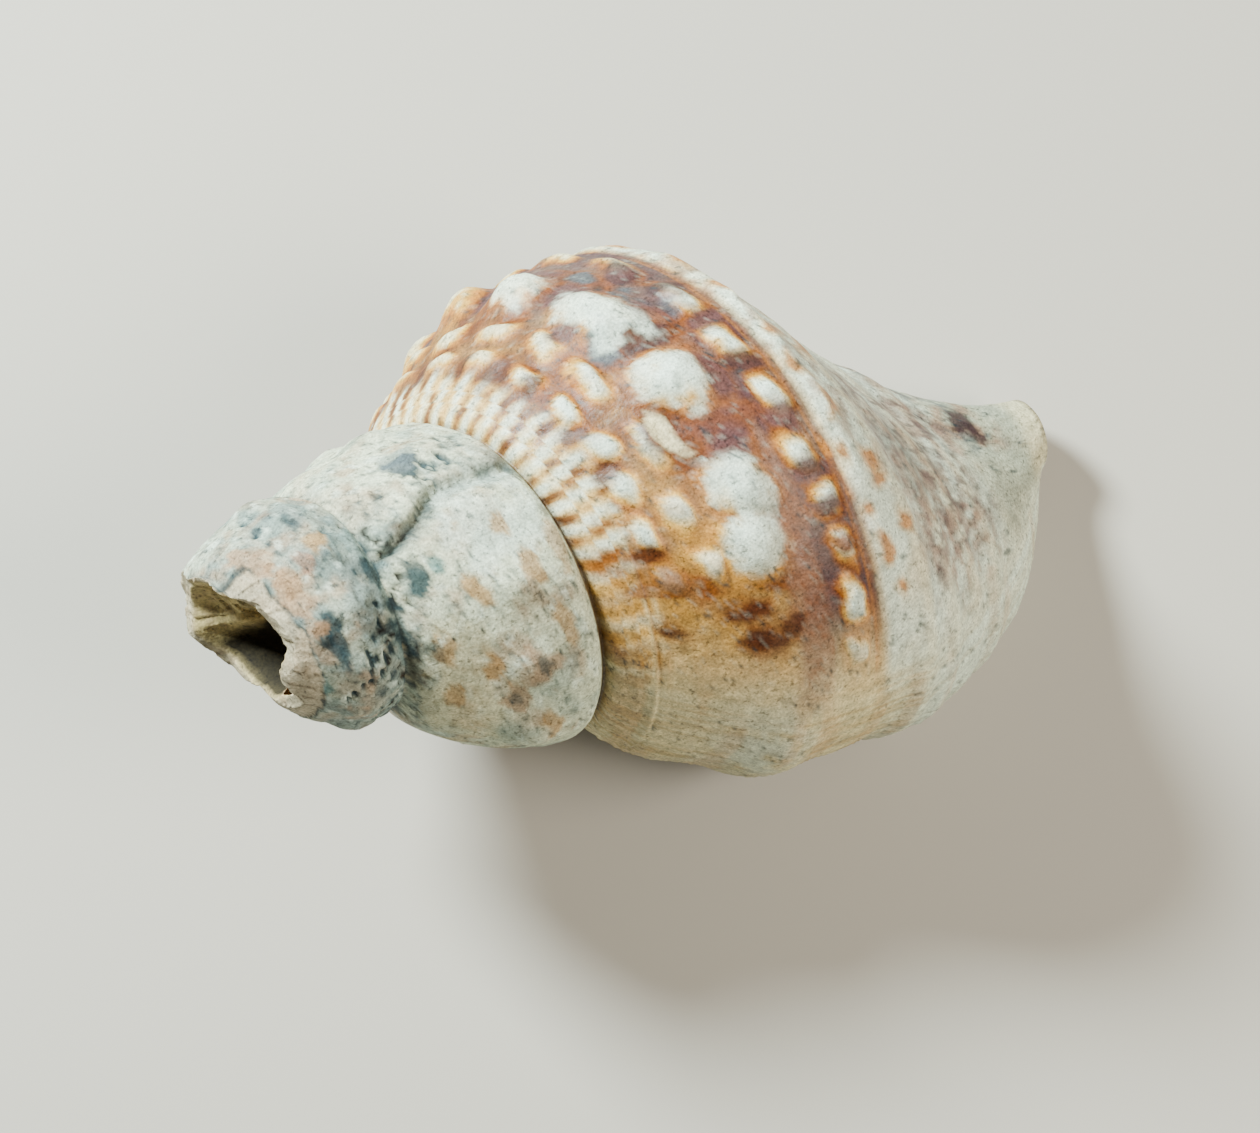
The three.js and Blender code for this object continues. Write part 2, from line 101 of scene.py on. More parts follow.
# Knobs: turn, across, half length in turns, half width across, height in mm.
KEEL_KNOBS = [
    (-0.941, 0.52, 0.022, 0.1, 5), (-0.871, 0.52, 0.022, 0.1, 5.5), (-0.806, 0.52, 0.022, 0.1, 6),
    (-0.741, 0.52, 0.022, 0.1, 6.5), (-0.676, 0.52, 0.022, 0.1, 7), (-0.611, 0.52, 0.022, 0.1, 7.5),
    (-0.546, 0.51, 0.022, 0.1, 7.5), (-0.481, 0.5, 0.022, 0.1, 7.5), (-0.406, 0.51, 0.027, 0.11, 7.5),
    (-0.346, 0.53, 0.019, 0.1, 6.5), (-0.273, 0.53, 0.019, 0.09, 5), (-0.236, 0.48, 0.02, 0.1, 4.5),
    (-0.101, 0.46, 0.06, 0.18, 1.6), (-0.02, 0.56, 0.05, 0.16, 0.4),
]
# Even rows of knobs: across, half width, height in mm, and the turn of each knob.
SECOND_ROW = (0.79, 0.055, 3.0, [
    -0.851, -0.791, -0.731, -0.671, -0.611, -0.551, -0.496, -0.446,
    -0.396, -0.351, -0.314, -0.281, -0.251, -0.221, -0.191, -0.161,
])
UPPER_ROW = (0.33, 0.05, 3.2, [
    -0.871, -0.811, -0.751, -0.691, -0.631, -0.576, -0.521,
    -0.466, -0.416, -0.371, -0.311, -0.266, -0.226,
])
SEAM_ROW = (0.2, 0.045, 2.6, [
    -0.891, -0.831, -0.771, -0.721, -0.671, -0.621, -0.566, -0.511,
    -0.456, -0.406, -0.361, -0.326, -0.291, -0.256, -0.221,
])
THIRD_ROW = (0.97, 0.05, 1.4, [
    -0.731, -0.671, -0.611, -0.551, -0.491, -0.436, -0.386, -0.341, -0.301, -0.261, -0.221,
])
ROW_KNOB_SPACING = 0.06
ROW_END_SPACING = 0.035
ROW_KNOB_SHARE = 0.42
SPIRE_KNOB_SPACING = 0.085
SPIRE_KNOB = {"across": 0.6, "length": 0.026, "width": 0.17, "height": 3.4, "from": -2.6, "to": -1.05}

# Fine relief. Heights, rises and depths are in mm, places and pitches are across, beads are in turns.
CORD_FIRST = 0.04
CORD_PITCH = 0.043
CORD_COUNT = 3
CORD_HEIGHT = 0.6
CORD_BEAD = 0.0225
CORD_STEP = 0.22
THIN_CORDS = [0.135, 0.16]
THIN_CORD_HALF = 0.008
THIN_CORD_HEIGHT = 0.5
BASE_RIDGES = {"first": 1.12, "pitch": 0.14, "count": 4, "height": 1.5}
OLD_LIP = {"at_seam": -1.31, "at_end": -1.36, "length": 0.02, "rise": 1.7}
OLD_GROOVE_WIDTH = 0.011
OLD_GROOVE_DEPTH = 2.4
WORN_EDGE = 1.7
SEAM_GAP_AT = 0.012
SEAM_GAP_DEPTH = 2.4

# Mesh.
ROWS_LAST_TURN = 340
ROWS_SPIRE_TURN = 190
ROWS_LOST_TURN = 36
COLUMNS_BODY = 98
COLUMNS_SEAM = 28
SEAM_ZONE = 0.15
COLUMNS_SPIRE = 60
COLUMNS_BASE = 64
HOLLOW_ROWS_PER_TURN = 64
BREAK_COLUMNS = 200
BREAK_ROWS = 36
HOLLOW_STATIONS = 14

# Resting pose, in degrees and mm.
REST_PITCH = 25.5
REST_ROLL = -27.7
REST_YAW = 12.5
REST_SHIFT = (-191.8, 9.7, 142.6)

# Camera, in mm and as directions in the resting frame.
CAMERA_EYE = (-172.0, -122.1, 1333.3)
CAMERA_LOOK = (0.12892, 0.08593, -0.98792)
CAMERA_UP = (0.3287, 0.9362, 0.1243)
CAMERA_LENS = 105.19
SENSOR = 36.0

# Looks.
VIVID = 1.25
OLD_ROUGHNESS = 0.8
YOUNG_ROUGHNESS = 0.48
INSIDE_ROUGHNESS = 0.3
BROKEN_ROUGHNESS = 0.85
SHINE = 0.25

# The broken spire lies within this distance along the axis in mm, and the canal's channel beyond it.
SPIRE_WITHIN = 100

# Grain in the colour: noise scale and detail, the range that counts, and what it becomes.
FINE_GRAIN = (1100, 4, 0.33, 0.67, 0.66, 1.14)
COARSE_GRAIN = (260, 6, 0.32, 0.68, 0.76, 1.12)
DOTS = (620, 2, 0.6, 0.68, 0.0, 0.6)
DOT_TONE = (0.22, 0.22, 0.22, 1)

# Bumps: noise scale and detail, strength, and depth in metres.
FINE_BUMP = (600, 5, 0.35, 0.0006)
BROAD_BUMP = (170, 4, 0.4, 0.0012)

# Lights: place in metres, size, power and tone.
WINDOW = ((-0.75, 1.15, 1.05), 0.42, 130, (0.86, 0.97, 0.98))
FILL = ((1.05, -0.6, 1.3), 1.0, 38, (1.0, 0.93, 0.82))
LIGHTS_AIM = (0, 0, 0.06)

# Floor, with half its side in metres, and the light of the room.
FLOOR_TONE = (182, 178, 168)
FLOOR_HALF = 3.0
ROOM_TONE = (0.9, 0.93, 1.0, 1)
ROOM_STRENGTH = 0.09

# Soft edges: where each starts, in turns, and over how far it rises. It falls where that is negative.
BODY_SHAPE = (-1.25, 0.5)
BODY_RISE = (-1, 0.06)
SHOULDER_STEP = (-0.98, 0.35)
BACK_SHAPE = (-1, 0.45)
CORDS_FROM = (-0.75, 0.1)
THIN_CORDS_FROM = (-0.33, 0.1)
RIDGES_FROM = (-0.9, 0.2)
SEAM_GAP_FROM = (-0.6, 0.1)
KEEL_FROM = (-0.2, 0.15)
LAMINAE_FROM = (-0.15, 0.1)
THIRD_WHORL = (-1.85, -0.2)

# The split layer is only on whorls older than this turn.
PEELED_BEFORE = -1.9


def ease(x):
    share = np.clip(x, 0, 1)
    return share * share * (3 - 2 * share)


def fade(x, start, length):
    """Rises from 0 at the start to 1 a length further on. A negative length goes the other way."""
    return ease((x - start) / length)


def same_shape(turn, across):
    return np.broadcast_arrays(np.asarray(turn, float), np.asarray(across, float))


def weights(xs, x):
    """Weights of the values at xs for a smooth curve through them, at each x."""
    xs = np.asarray(xs, float)
    x = np.asarray(x, float)
    count = len(xs)
    i = np.clip(np.searchsorted(xs, x, side="right") - 1, 0, count - 2)
    eye = np.eye(count)
    low = np.maximum(np.arange(count) - 1, 0)
    high = np.minimum(np.arange(count) + 1, count - 1)
    slope = (eye[high] - eye[low]) / (xs[high] - xs[low])[:, None]
    span = (xs[i + 1] - xs[i])[..., None]
    t = (x - xs[i])[..., None] / span
    start = (2 * t**3 - 3 * t**2 + 1) * eye[i] + (t**3 - 2 * t**2 + t) * span * slope[i]
    end = (3 * t**2 - 2 * t**3) * eye[i + 1] + (t**3 - t**2) * span * slope[i + 1]
    return start + end


def curve(knots, x):
    values = np.array([value for _, value in knots], float)
    return weights([at for at, _ in knots], x) @ values


def seam(turn):
    growth = WHORL_GROWTH ** turn
    along = LIP_SEAM_ALONG * growth * (1 + curve(SEAM_ALONG_DRIFT, turn))
    radius = LIP_SEAM_RADIUS * growth * (1 + curve(SEAM_RADIUS_DRIFT, turn))
    return along, radius


def ramp(turn, across):
    """The part of a whorl between its seam and the next one."""
    turn, across = same_shape(turn, across)
    start_a, start_r = seam(turn)
    end_a, end_r = seam(turn + 1)
    body = fade(turn, *BODY_SHAPE)[..., None]
    full = curve(FULLNESS, turn)[..., None]
    bulges = full * ((1 - body) * np.array(SPIRE_BULGE) + body * np.array(BODY_BULGE))
    bulges[..., -1] = fade(turn, *SHOULDER_STEP) * BODY_BULGE[-1]
    bulge = (weights(BULGE_AT, across) * bulges).sum(-1)
    a = start_a + (end_a - start_a) * across
    return a, start_r + (end_r - start_r) * across + WHORL_GROWTH ** turn * bulge


def canal_length():
    return CANAL_TIP_ALONG - seam(0.0)[0]


def base(turn, down):
    """The part of a whorl that runs on to the tip of its canal."""
    turn, down = same_shape(turn, down)
    start_a, start_r = ramp(turn, np.ones_like(turn))
    growth = np.minimum(WHORL_GROWTH ** (turn + 1), 1)
    tip = np.where(turn > -1, CANAL_TIP_ALONG, start_a + canal_length() * growth)
    columella = CANAL_RADIUS * growth
    flare = ease((turn + 0.45 - 0.22 * down) / (0.4 - 0.15 * down))
    back = fade(turn, *BACK_SHAPE)
    share = weights(BASE_AT, down)
    closed = (1 - back) * (share @ BASE_UNDER_LIP) + back * (share @ BASE_ON_BACK)
    fall = (1 - flare) * closed + flare * (share @ BASE_AT_LIP)
    return start_a + (tip - start_a) * down, columella + (start_r - columella) * fall


def whorl(turn, across):
    turn, across = same_shape(turn, across)
    ramp_a, ramp_r = ramp(turn, np.clip(across, 0, 1))
    base_a, base_r = base(turn, np.clip(across - 1, 0, 1))
    tucked = ease(turn / LIP_TUCK_LENGTH + 1) * fade(across, 0.2, 0.4) * fade(across, 1.95, -0.4)
    r = np.where(across <= 1, ramp_r, base_r) - LIP_TUCK * tucked
    return np.where(across <= 1, ramp_a, base_a), r


def covered_radius(turn, a):
    """The radius of an older whorl's base where the newer whorl covers it."""
    start_a, start_r = seam(turn + 1)
    growth = WHORL_GROWTH ** (turn + 1)
    down = np.clip((a - start_a) / (canal_length() * growth), 0, 1)
    columella = CANAL_RADIUS * growth
    return columella + (start_r - columella) * (weights(BASE_AT, down) @ BASE_UNDER_LIP)


def bend(a, y, z):
    canal = ease((a - CANAL_SWING_FROM) / (CANAL_TIP_ALONG - CANAL_SWING_FROM))
    spire = np.clip((SPIRE_SWING_FROM - a) / SPIRE_SWING_LENGTH, 0, 1.2) ** 2
    swung_y = y - CANAL_SWING * canal + SPIRE_SWING[0] * spire
    return np.stack(np.broadcast_arrays(a, swung_y, z + SPIRE_SWING[1] * spire), -1)


def place(a, r, degrees):
    angle = np.radians(degrees)
    return bend(a, -r * np.sin(angle), r * np.cos(angle))


def rest_turn():
    """Turns a point of the upright shell into the resting pose."""
    yaw = Matrix.Rotation(math.radians(REST_YAW), 3, "Z")
    roll = Matrix.Rotation(math.radians(REST_ROLL), 3, "X")
    pitch = Matrix.Rotation(math.radians(REST_PITCH), 3, "Y")
    return np.array(yaw @ roll @ pitch)


def laid_down(points):
    return points @ rest_turn().T + np.array(REST_SHIFT)


def lattice(cell, seed):
    """A repeatable number from 0 to 1 for each whole-number cell."""
    mixed = cell[..., 0] * 374761393 + cell[..., 1] * 668265263 + cell[..., 2] * 2147483647
    mixed = (mixed + seed * 1442695041) & 0xFFFFFFFF
    mixed = ((mixed ^ (mixed >> 13)) * 1274126177) & 0xFFFFFFFF
    return ((mixed ^ (mixed >> 16)) & 0xFFFF) / 65535.0


def noise(points, size, seed):
    """Smooth noise from -1 to 1 with features of about the given size."""
    scaled = points / size
    cell = np.floor(scaled).astype(np.int64)
    t = scaled - cell
    t = t * t * (3 - 2 * t)
    total = 0
    for corner in np.ndindex(2, 2, 2):
        share = 1
        for k, step in enumerate(corner):
            share = share * (t[..., k] if step else 1 - t[..., k])
        total = total + share * lattice(cell + np.array(corner), seed)
    return total * 2 - 1


def rough_noise(points, size, seed, octaves=3):
    """Noise with finer noise on it."""
    total = 0
    for k in range(octaves):
        total = total + noise(points, size / 2**k, seed + 31 * k) / 2**k
    return total / 1.6


def streaky(turn, across, per_turn, per_width, seed):
    """Noise in streaks: how many fit in a turn and in the width of a whorl."""
    return noise(np.stack([turn * per_turn, across * per_width, 0 * turn], -1), 1, seed)


def hump(distance, half):
    """1 at no distance and falling to about a fifth at the half width."""
    return np.exp(-1.6 * (np.abs(distance) / half) ** 2.4)


def facing(around, side):
    """1 towards the side and -1 away from it, both in degrees."""
    return np.cos(np.radians(around - side))


def row_knobs(row):
    """The knobs of an even row, in the form of the keel knobs."""
    across, width, height, turns = row
    knobs = []
    for i, at in enumerate(turns):
        before = at - turns[i - 1] if i else ROW_KNOB_SPACING
        after = turns[i + 1] - at if i + 1 < len(turns) else ROW_END_SPACING
        knobs.append((at, across, min(before, after) * ROW_KNOB_SHARE, width, height))
    return knobs


def wander(points):
    """How far the knobs and their colours stray, in turns and across."""
    drift = 0.006 * noise(points, 15, 3) + 0.003 * noise(points, 6, 6)
    across_drift = 0.03 * noise(points, 14, 4) + 0.014 * noise(points, 6, 7)
    return drift, across_drift


def cord_index(across):
    """Which cord of the seam is nearest."""
    return np.clip(np.round((across - CORD_FIRST) / CORD_PITCH), 0, CORD_COUNT - 1)


def thin_cords(across):
    """The two sharp threads beside the seam."""
    return sum(hump(across - at, THIN_CORD_HALF) for at in THIN_CORDS)


def base_ridges(across):
    """Low ridges round the base."""
    first = BASE_RIDGES["first"]
    pitch = BASE_RIDGES["pitch"]
    index = np.clip(np.round((across - first) / pitch), 0, BASE_RIDGES["count"] - 1)
    return BASE_RIDGES["height"] * hump(across - first - index * pitch, pitch * 0.4)


def body_relief(turn, across, points):
    """Knobs, cords, ridges and growth lines on the last whorl."""
    drift, across_drift = wander(points)
    height = np.zeros_like(turn)
    knobs = [(at, middle, 1.2 * length, 1.15 * width, tall) for at, middle, length, width, tall in KEEL_KNOBS]
    for row in (SECOND_ROW, UPPER_ROW, SEAM_ROW, THIRD_ROW):
        knobs += row_knobs(row)
    for at, middle, length, width, tall in knobs:
        knob = hump(turn + drift - at, length) * hump(across + across_drift - middle, width)
        height = np.maximum(height, tall * knob)
    index = cord_index(across)
    cord = hump(across - CORD_FIRST - index * CORD_PITCH, CORD_PITCH * 0.4)
    bead = 0.6 + 0.4 * np.cos(2 * np.pi * ((turn + 0.6 * drift) / CORD_BEAD + CORD_STEP * index))
    height = height + CORD_HEIGHT * cord * bead * fade(turn, *CORDS_FROM)
    height = height + THIN_CORD_HEIGHT * thin_cords(across) * fade(turn, *THIN_CORDS_FROM)
    height = height + base_ridges(across) * (across > 1) * fade(turn, *RIDGES_FROM)
    fine = 0.5 + 0.5 * np.cos(2 * np.pi * (across + 0.3 * across_drift) / 0.029)
    height = height + 0.42 * fine * fade(across, 0.15, 0.05) * (0.6 + 0.4 * noise(points, 9, 5))
    gap = SEAM_GAP_DEPTH * hump(across - SEAM_GAP_AT, SEAM_GAP_AT * 0.8) * fade(turn, *SEAM_GAP_FROM)
    return height * fade(across, 0.01, 0.025) * fade(turn, *BODY_RISE) - gap


def lip_keel(turn, across):
    """The angle that the whorl makes at its shoulder as it nears the lip."""
    ridge = hump(across - 0.6, 0.13) - 0.7 * hump(across - 0.36, 0.16)
    return 2.6 * ridge * fade(turn, *KEEL_FROM)


def lip_laminae(turn, across, points):
    """Overlapping growth sheets towards the lip."""
    wavy = turn + 0.004 * noise(points, 18, 8) + 0.0015 * noise(points, 4, 9)
    phase = (wavy / 0.0135) % 1.0
    near = fade(turn, *LAMINAE_FROM)
    return near * (0.75 * phase**1.5 - 0.35) * ease(across / 0.05)


def from_old_lip(turn, across, points):
    """How far a place is from the old lip, in turns. Older places are negative."""
    lip = OLD_LIP["at_seam"] + (OLD_LIP["at_end"] - OLD_LIP["at_seam"]) * np.minimum(across * 2, 1)
    return turn + 0.006 * noise(points, 9, 12) + 0.002 * noise(points, 3, 13) - lip


def worn_seam(turn, across):
    """1 along the eaten seam between the two oldest whorls that are left."""
    older = fade(across, 0.62, 0.2) * fade(turn, -1.95, -0.1) * fade(turn, -2.42, 0.1)
    newer = fade(across, 0.16, -0.1) * fade(turn, -0.95, -0.1) * fade(turn, -1.42, 0.08)
    return older + newer


def spire_relief(turn, across, points):
    """Worn knobs, the old lip with its groove, and the lumps of the weathered spire."""
    index = np.round((turn - SPIRE_KNOB["from"]) / SPIRE_KNOB_SPACING)
    at = SPIRE_KNOB["from"] + index * SPIRE_KNOB_SPACING
    inside = (at >= SPIRE_KNOB["from"]) & (at <= SPIRE_KNOB["to"])
    growth = WHORL_GROWTH ** (turn + 1)
    knob = hump(turn - at, SPIRE_KNOB["length"]) * hump(across - SPIRE_KNOB["across"], SPIRE_KNOB["width"])
    height = SPIRE_KNOB["height"] * growth * knob * inside
    off = from_old_lip(turn, across, points)
    older_side = hump(off, OLD_LIP["length"] * 3)
    newer_side = hump(off, OLD_GROOVE_WIDTH * 0.5)
    edges = ease(across * 25) * ease((1 - across) * 12)
    height = height + OLD_LIP["rise"] * np.where(off < 0, older_side, newer_side) * edges
    groove = hump(off - OLD_GROOVE_WIDTH, OLD_GROOVE_WIDTH)
    height = height - OLD_GROOVE_DEPTH * groove * edges
    height = height + 0.2 * streaky(turn, across, 160, 2.5, 15)
    height = height - WORN_EDGE * hump(across - 0.9, 0.14) * fade(turn, -1.85, -0.1)
    eaten = ease(4 * noise(points, 2.6, 19) - 1.6) * worn_seam(turn, across)
    height = height - 1.5 * eaten
    height = height + 0.75 * rough_noise(points, 13, 16) + 0.35 * rough_noise(points, 3.5, 17)
    height = height + 1.1 * streaky(turn, across, 17, 0.8, 18) * fade(turn, -1.7, -0.2)
    return height * fade(across, 0, 0.04) * fade(across, 1, -0.04)


def pits(turn, across):
    """Depth of the bored and eroded pits, by named place."""
    depth = np.zeros_like(turn)
    for at, middle, length, width, deep in PITS:
        depth = np.maximum(depth, deep * hump(turn - at, length) * hump(across - middle, width))
    return depth


# Pits: turn, across, half length, half width, depth.
PITS = [
    (-1.386, 0.55, 0.008, 0.022, 2.0), (-1.38, 0.6, 0.006, 0.02, 1.6), (-1.387, 0.66, 0.007, 0.022, 1.8),
    (-1.376, 0.66, 0.005, 0.018, 1.4), (-1.411, 0.78, 0.008, 0.02, 1.6), (-1.451, 0.65, 0.006, 0.02, 1.3),
    (-1.196, 0.22, 0.003, 0.012, 1.0), (-1.201, 0.37, 0.004, 0.014, 1.1), (-1.171, 0.73, 0.004, 0.014, 1.2),
    (-2.476, 0.46, 0.012, 0.03, 1.3), (-2.426, 0.39, 0.01, 0.03, 1.1),
    (-2.181, 0.67, 0.01, 0.03, 1.6), (-2.151, 0.65, 0.008, 0.03, 1.5), (-2.131, 0.52, 0.008, 0.03, 1.5),
    (-2.161, 0.75, 0.009, 0.028, 1.5), (-2.191, 0.88, 0.009, 0.028, 1.2), (-2.121, 0.47, 0.006, 0.02, 1.2),
    (-2.221, 0.43, 0.02, 0.05, 0.8), (-0.101, 1.17, 0.002, 0.02, 0.8), (-0.161, 1.08, 0.002, 0.015, 0.8),
    (-2.229, 0.83, 0.009, 0.025, 1.4), (-2.212, 0.74, 0.007, 0.03, 1.5), (-2.194, 0.66, 0.008, 0.025, 1.4),
    (-2.184, 0.72, 0.009, 0.03, 1.6), (-2.169, 0.65, 0.007, 0.025, 1.3), (-2.18, 0.81, 0.009, 0.03, 1.6),
    (-2.183, 0.88, 0.007, 0.03, 1.5), (-2.144, 0.59, 0.008, 0.03, 1.3), (-2.252, 0.86, 0.007, 0.03, 1.3),
    (-1.376, 0.58, 0.005, 0.02, 1.6), (-1.37, 0.49, 0.005, 0.018, 1.4), (-1.361, 0.52, 0.004, 0.016, 1.3),
]


def outside(turn, across):
    """Positions of the outside in the upright shell, with turn and across as two more columns."""
    turn, across = same_shape(turn, across)
    a, r = whorl(turn, across)
    degrees = LIP_ANGLE + 360 * turn
    points = place(a, r, degrees)
    body = body_relief(turn, across, points) + lip_laminae(turn, across, points) + lip_keel(turn, across)
    body = body + 0.3 * rough_noise(points, 7, 20) * fade(across, 0, 0.03) * fade(turn, *BODY_RISE)
    relief = np.where(turn < -1, spire_relief(turn, across, points), body)
    relief = relief - pits(turn, across) - PEEL_DEPTH * peeled(points) * (turn < PEELED_BEFORE)
    return np.concatenate([place(a, r + relief, degrees), turn[..., None], across[..., None]], -1)


def grid_triangles(grid):
    """Triangles between the rows and columns of a grid of points."""
    p, q, s, t = grid[:-1, :-1], grid[1:, :-1], grid[1:, 1:], grid[:-1, 1:]
    width = grid.shape[-1]
    first = np.stack([p, q, s], 2).reshape(-1, 3, width)
    second = np.stack([p, s, t], 2).reshape(-1, 3, width)
    return np.concatenate([first, second])


def stitch(row_a, at_a, row_b, at_b):
    """Triangles between two rows of points, each with a rising number for every point."""
    faces = []
    i = 0
    j = 0
    while i < len(row_a) - 1 or j < len(row_b) - 1:
        next_a = at_a[i + 1] if i < len(row_a) - 1 else math.inf
        next_b = at_b[j + 1] if j < len(row_b) - 1 else math.inf
        if next_a <= next_b:
            faces.append([row_a[i], row_a[i + 1], row_b[j]])
            i += 1
        else:
            faces.append([row_a[i], row_b[j + 1], row_b[j]])
            j += 1
    return np.array(faces)


def fan(centre, row):
    return np.array([[centre, row[i], row[i + 1]] for i in range(len(row) - 1)])


def welded(faces):
    """One closed mesh from loose triangles: its points, extra columns and triangles."""
    corners = faces.reshape(-1, faces.shape[-1])
    keys = np.round(corners[:, :3] * 2000).astype(np.int64)
    _, first, index = np.unique(keys, axis=0, return_index=True, return_inverse=True)
    triangles = index.reshape(-1, 3)
    p, q, s = triangles.T
    triangles = triangles[(p != q) & (q != s) & (s != p)]
    points = corners[first]
    ends = points[triangles][:, :, :3]
    volume = np.einsum("ij,ij->i", ends[:, 0], np.cross(ends[:, 1], ends[:, 2])).sum() / 6
    if volume < 0:
        triangles = triangles[:, ::-1]
    return points, triangles


def filled_shell():
    """The outside, closed at both ends and across the mouth."""
    lost = np.linspace(FIRST_TURN, FIRST_TURN + 1, ROWS_LOST_TURN + 1)
    seen = np.linspace(FIRST_TURN + 1, -1, round((-2 - FIRST_TURN) * ROWS_SPIRE_TURN) + 1)
    older = np.concatenate([lost, seen[1:]])
    latest = np.linspace(-1, 0, ROWS_LAST_TURN + 1)
    spire_across = np.linspace(0, 1, COLUMNS_SPIRE + 1)
    near_seam = np.linspace(0, SEAM_ZONE, COLUMNS_SEAM + 1)
    body_across = np.concatenate([near_seam, np.linspace(SEAM_ZONE, 1, COLUMNS_BODY - COLUMNS_SEAM + 1)[1:]])
    base_across = np.linspace(1, 2, COLUMNS_BASE + 1)
    spire = outside(older[:, None], spire_across[None, :-1])
    all_body = outside(latest[:, None], np.concatenate([body_across, base_across[1:]])[None, :])
    faces = [grid_triangles(spire), grid_triangles(all_body)]

    # The spire's last column meets the seam of the whorl one turn younger.
    covering = np.concatenate([older, latest[1:]])
    covering = covering[covering >= FIRST_TURN + 1 - 1e-9]
    seam_points = outside(covering, 0)
    faces.append(stitch(spire[:, -1], older, seam_points, covering - 1))

    join_new = all_body[0, : COLUMNS_BODY + 1]
    join_old = np.concatenate([spire[-1], outside(0.0, 0.0)[None]])
    faces.append(stitch(join_new, body_across, join_old, spire_across))

    lip = all_body[-1]
    covered = all_body[0, COLUMNS_BODY:]
    faces.append(stitch(covered, np.linspace(0, 1, len(covered)), lip, np.linspace(0, 1, len(lip))))

    tip = all_body[:, -1]
    faces.append(fan(tip.mean(0), np.concatenate([tip, tip[:1]])))
    first_edge = np.concatenate([spire[0], outside(FIRST_TURN + 1, 0.0)[None]])
    first_seam = outside(older[older <= FIRST_TURN + 1 + 1e-9], 0)[::-1]
    apex = np.append(place(seam(FIRST_TURN)[0] - 4, 0.0, 0.0), [FIRST_TURN, 0])
    faces.append(fan(apex, first_edge))
    faces.append(fan(apex, first_seam))
    return welded(np.concatenate(faces))


def hollow_loop(turn):
    """One cross section of the winding hollow, as a closed loop."""
    wall = curve(WALL, min(turn, 0))

    def outer(across):
        a, r = whorl(turn, across)
        ahead_a, ahead_r = whorl(turn, np.minimum(across + 0.01, 2))
        slope = (ahead_r - r) / np.maximum(ahead_a - a, 0.05)
        return a, r - wall * np.minimum(np.hypot(1, slope), 1.8)

    tries = np.linspace(0, 2, 401)
    a, r = outer(tries)
    is_open = tries[r - covered_radius(turn - 1, a) - COLUMELLA_GLAZE > SMALLEST_GAP]
    stations = is_open[0] + (is_open[-1] - is_open[0]) * ease(np.linspace(0, 1, HOLLOW_STATIONS))
    a, r = outer(stations)
    degrees = LIP_ANGLE + 360 * turn
    top = place(a, r, degrees)
    bottom = place(a, covered_radius(turn - 1, a) + COLUMELLA_GLAZE, degrees)[::-1]
    loop = np.concatenate([top, bottom])
    marks = np.concatenate([stations, stations[::-1]])
    return np.column_stack([loop, np.full(len(loop), turn), marks])


def winding_hollow():
    turns = np.linspace(HOLLOW_FROM, HOLLOW_PAST_LIP, round(-HOLLOW_FROM * HOLLOW_ROWS_PER_TURN) + 1)
    loops = np.array([hollow_loop(turn) for turn in turns])
    closed = np.concatenate([loops, loops[:, :1]], 1)
    first = closed[0]
    last = closed[-1]
    ends = [fan(loops[0].mean(0), first), fan(loops[-1].mean(0), last[::-1])]
    return welded(np.concatenate([grid_triangles(closed), *ends]))


def canal_groove():
    along = np.linspace(GROOVE_START, CANAL_TIP_ALONG + 6, 24)
    around = np.radians(np.linspace(0, 360, 41))
    direction = math.radians(GROOVE_ANGLE)
    y = -GROOVE_OFFSET * math.sin(direction) - GROOVE_RADIUS * np.sin(around)
    z = GROOVE_OFFSET * math.cos(direction) + GROOVE_RADIUS * np.cos(around)
    rings = bend(along[:, None], y[None, :], z[None, :])
    ends = [fan(rings[0, 1:].mean(0), rings[0][::-1]), fan(rings[-1, 1:].mean(0), rings[-1])]
    return welded(np.concatenate([grid_triangles(rings)[:, ::-1], *ends]))


def broken_away():
    """What is missing from the spire: a jagged face and a plug that leaves a pit."""
    around = np.linspace(0, 360, BREAK_COLUMNS + 1)
    shares = np.concatenate([np.linspace(0.15, 1.2, BREAK_ROWS), [1.6, 2.4]])
    share = shares[:, None]
    low_side = facing(around, BREAK_LOW_SIDE)[None, :]
    teeth = sum(tall * np.cos(np.radians(count * (around - phase))) for count, phase, tall in BREAK_TEETH)
    radius = share * (BREAK_RADIUS + BREAK_RADIUS_SLANT * low_side)
    shallow = ease(0.5 + 0.8 * facing(around, PIT_SHALLOW_SIDE)[None, :]) * ease(share * 3)
    pit = curve(PIT_DEPTHS, shares)[:, None] * (1 - (1 - PIT_SHALLOW_SHARE) * shallow)
    jag = teeth[None, :] * np.minimum(share, 1.2)
    flat = place(BREAK_ALONG + 0 * radius, radius, around[None, :])
    crumble = 0.9 * rough_noise(flat, 5, 40) + 0.8 * np.round(2 * noise(flat, 8, 41))
    crumble[:, -1] = crumble[:, 0]
    crumble[-2:] = 0
    rings = place(BREAK_ALONG + BREAK_SLANT * share * low_side + pit + jag + crumble, radius, around[None, :])
    rings[:, -1] = rings[:, 0]
    back = place(BEYOND_SPIRE + 0 * around, PLUG_RADIUS + 0 * around, around)
    back[-1] = back[0]
    middle = place(BREAK_ALONG + PIT_DEPTHS[0][1], 0.0, 0.0)
    faces = [fan(middle, rings[0]), grid_triangles(rings)]
    faces.append(grid_triangles(np.stack([rings[-1], back])))
    faces.append(fan(place(BEYOND_SPIRE, 0.0, 0.0), back[::-1]))
    return welded(np.concatenate(faces))


def mesh_object(name, points, triangles):
    mesh = bpy.data.meshes.new(name)
    mesh.from_pydata(points[:, :3].tolist(), [], triangles.tolist())
    mesh.update()
    piece = bpy.data.objects.new(name, mesh)
    bpy.context.scene.collection.objects.link(piece)
    return piece


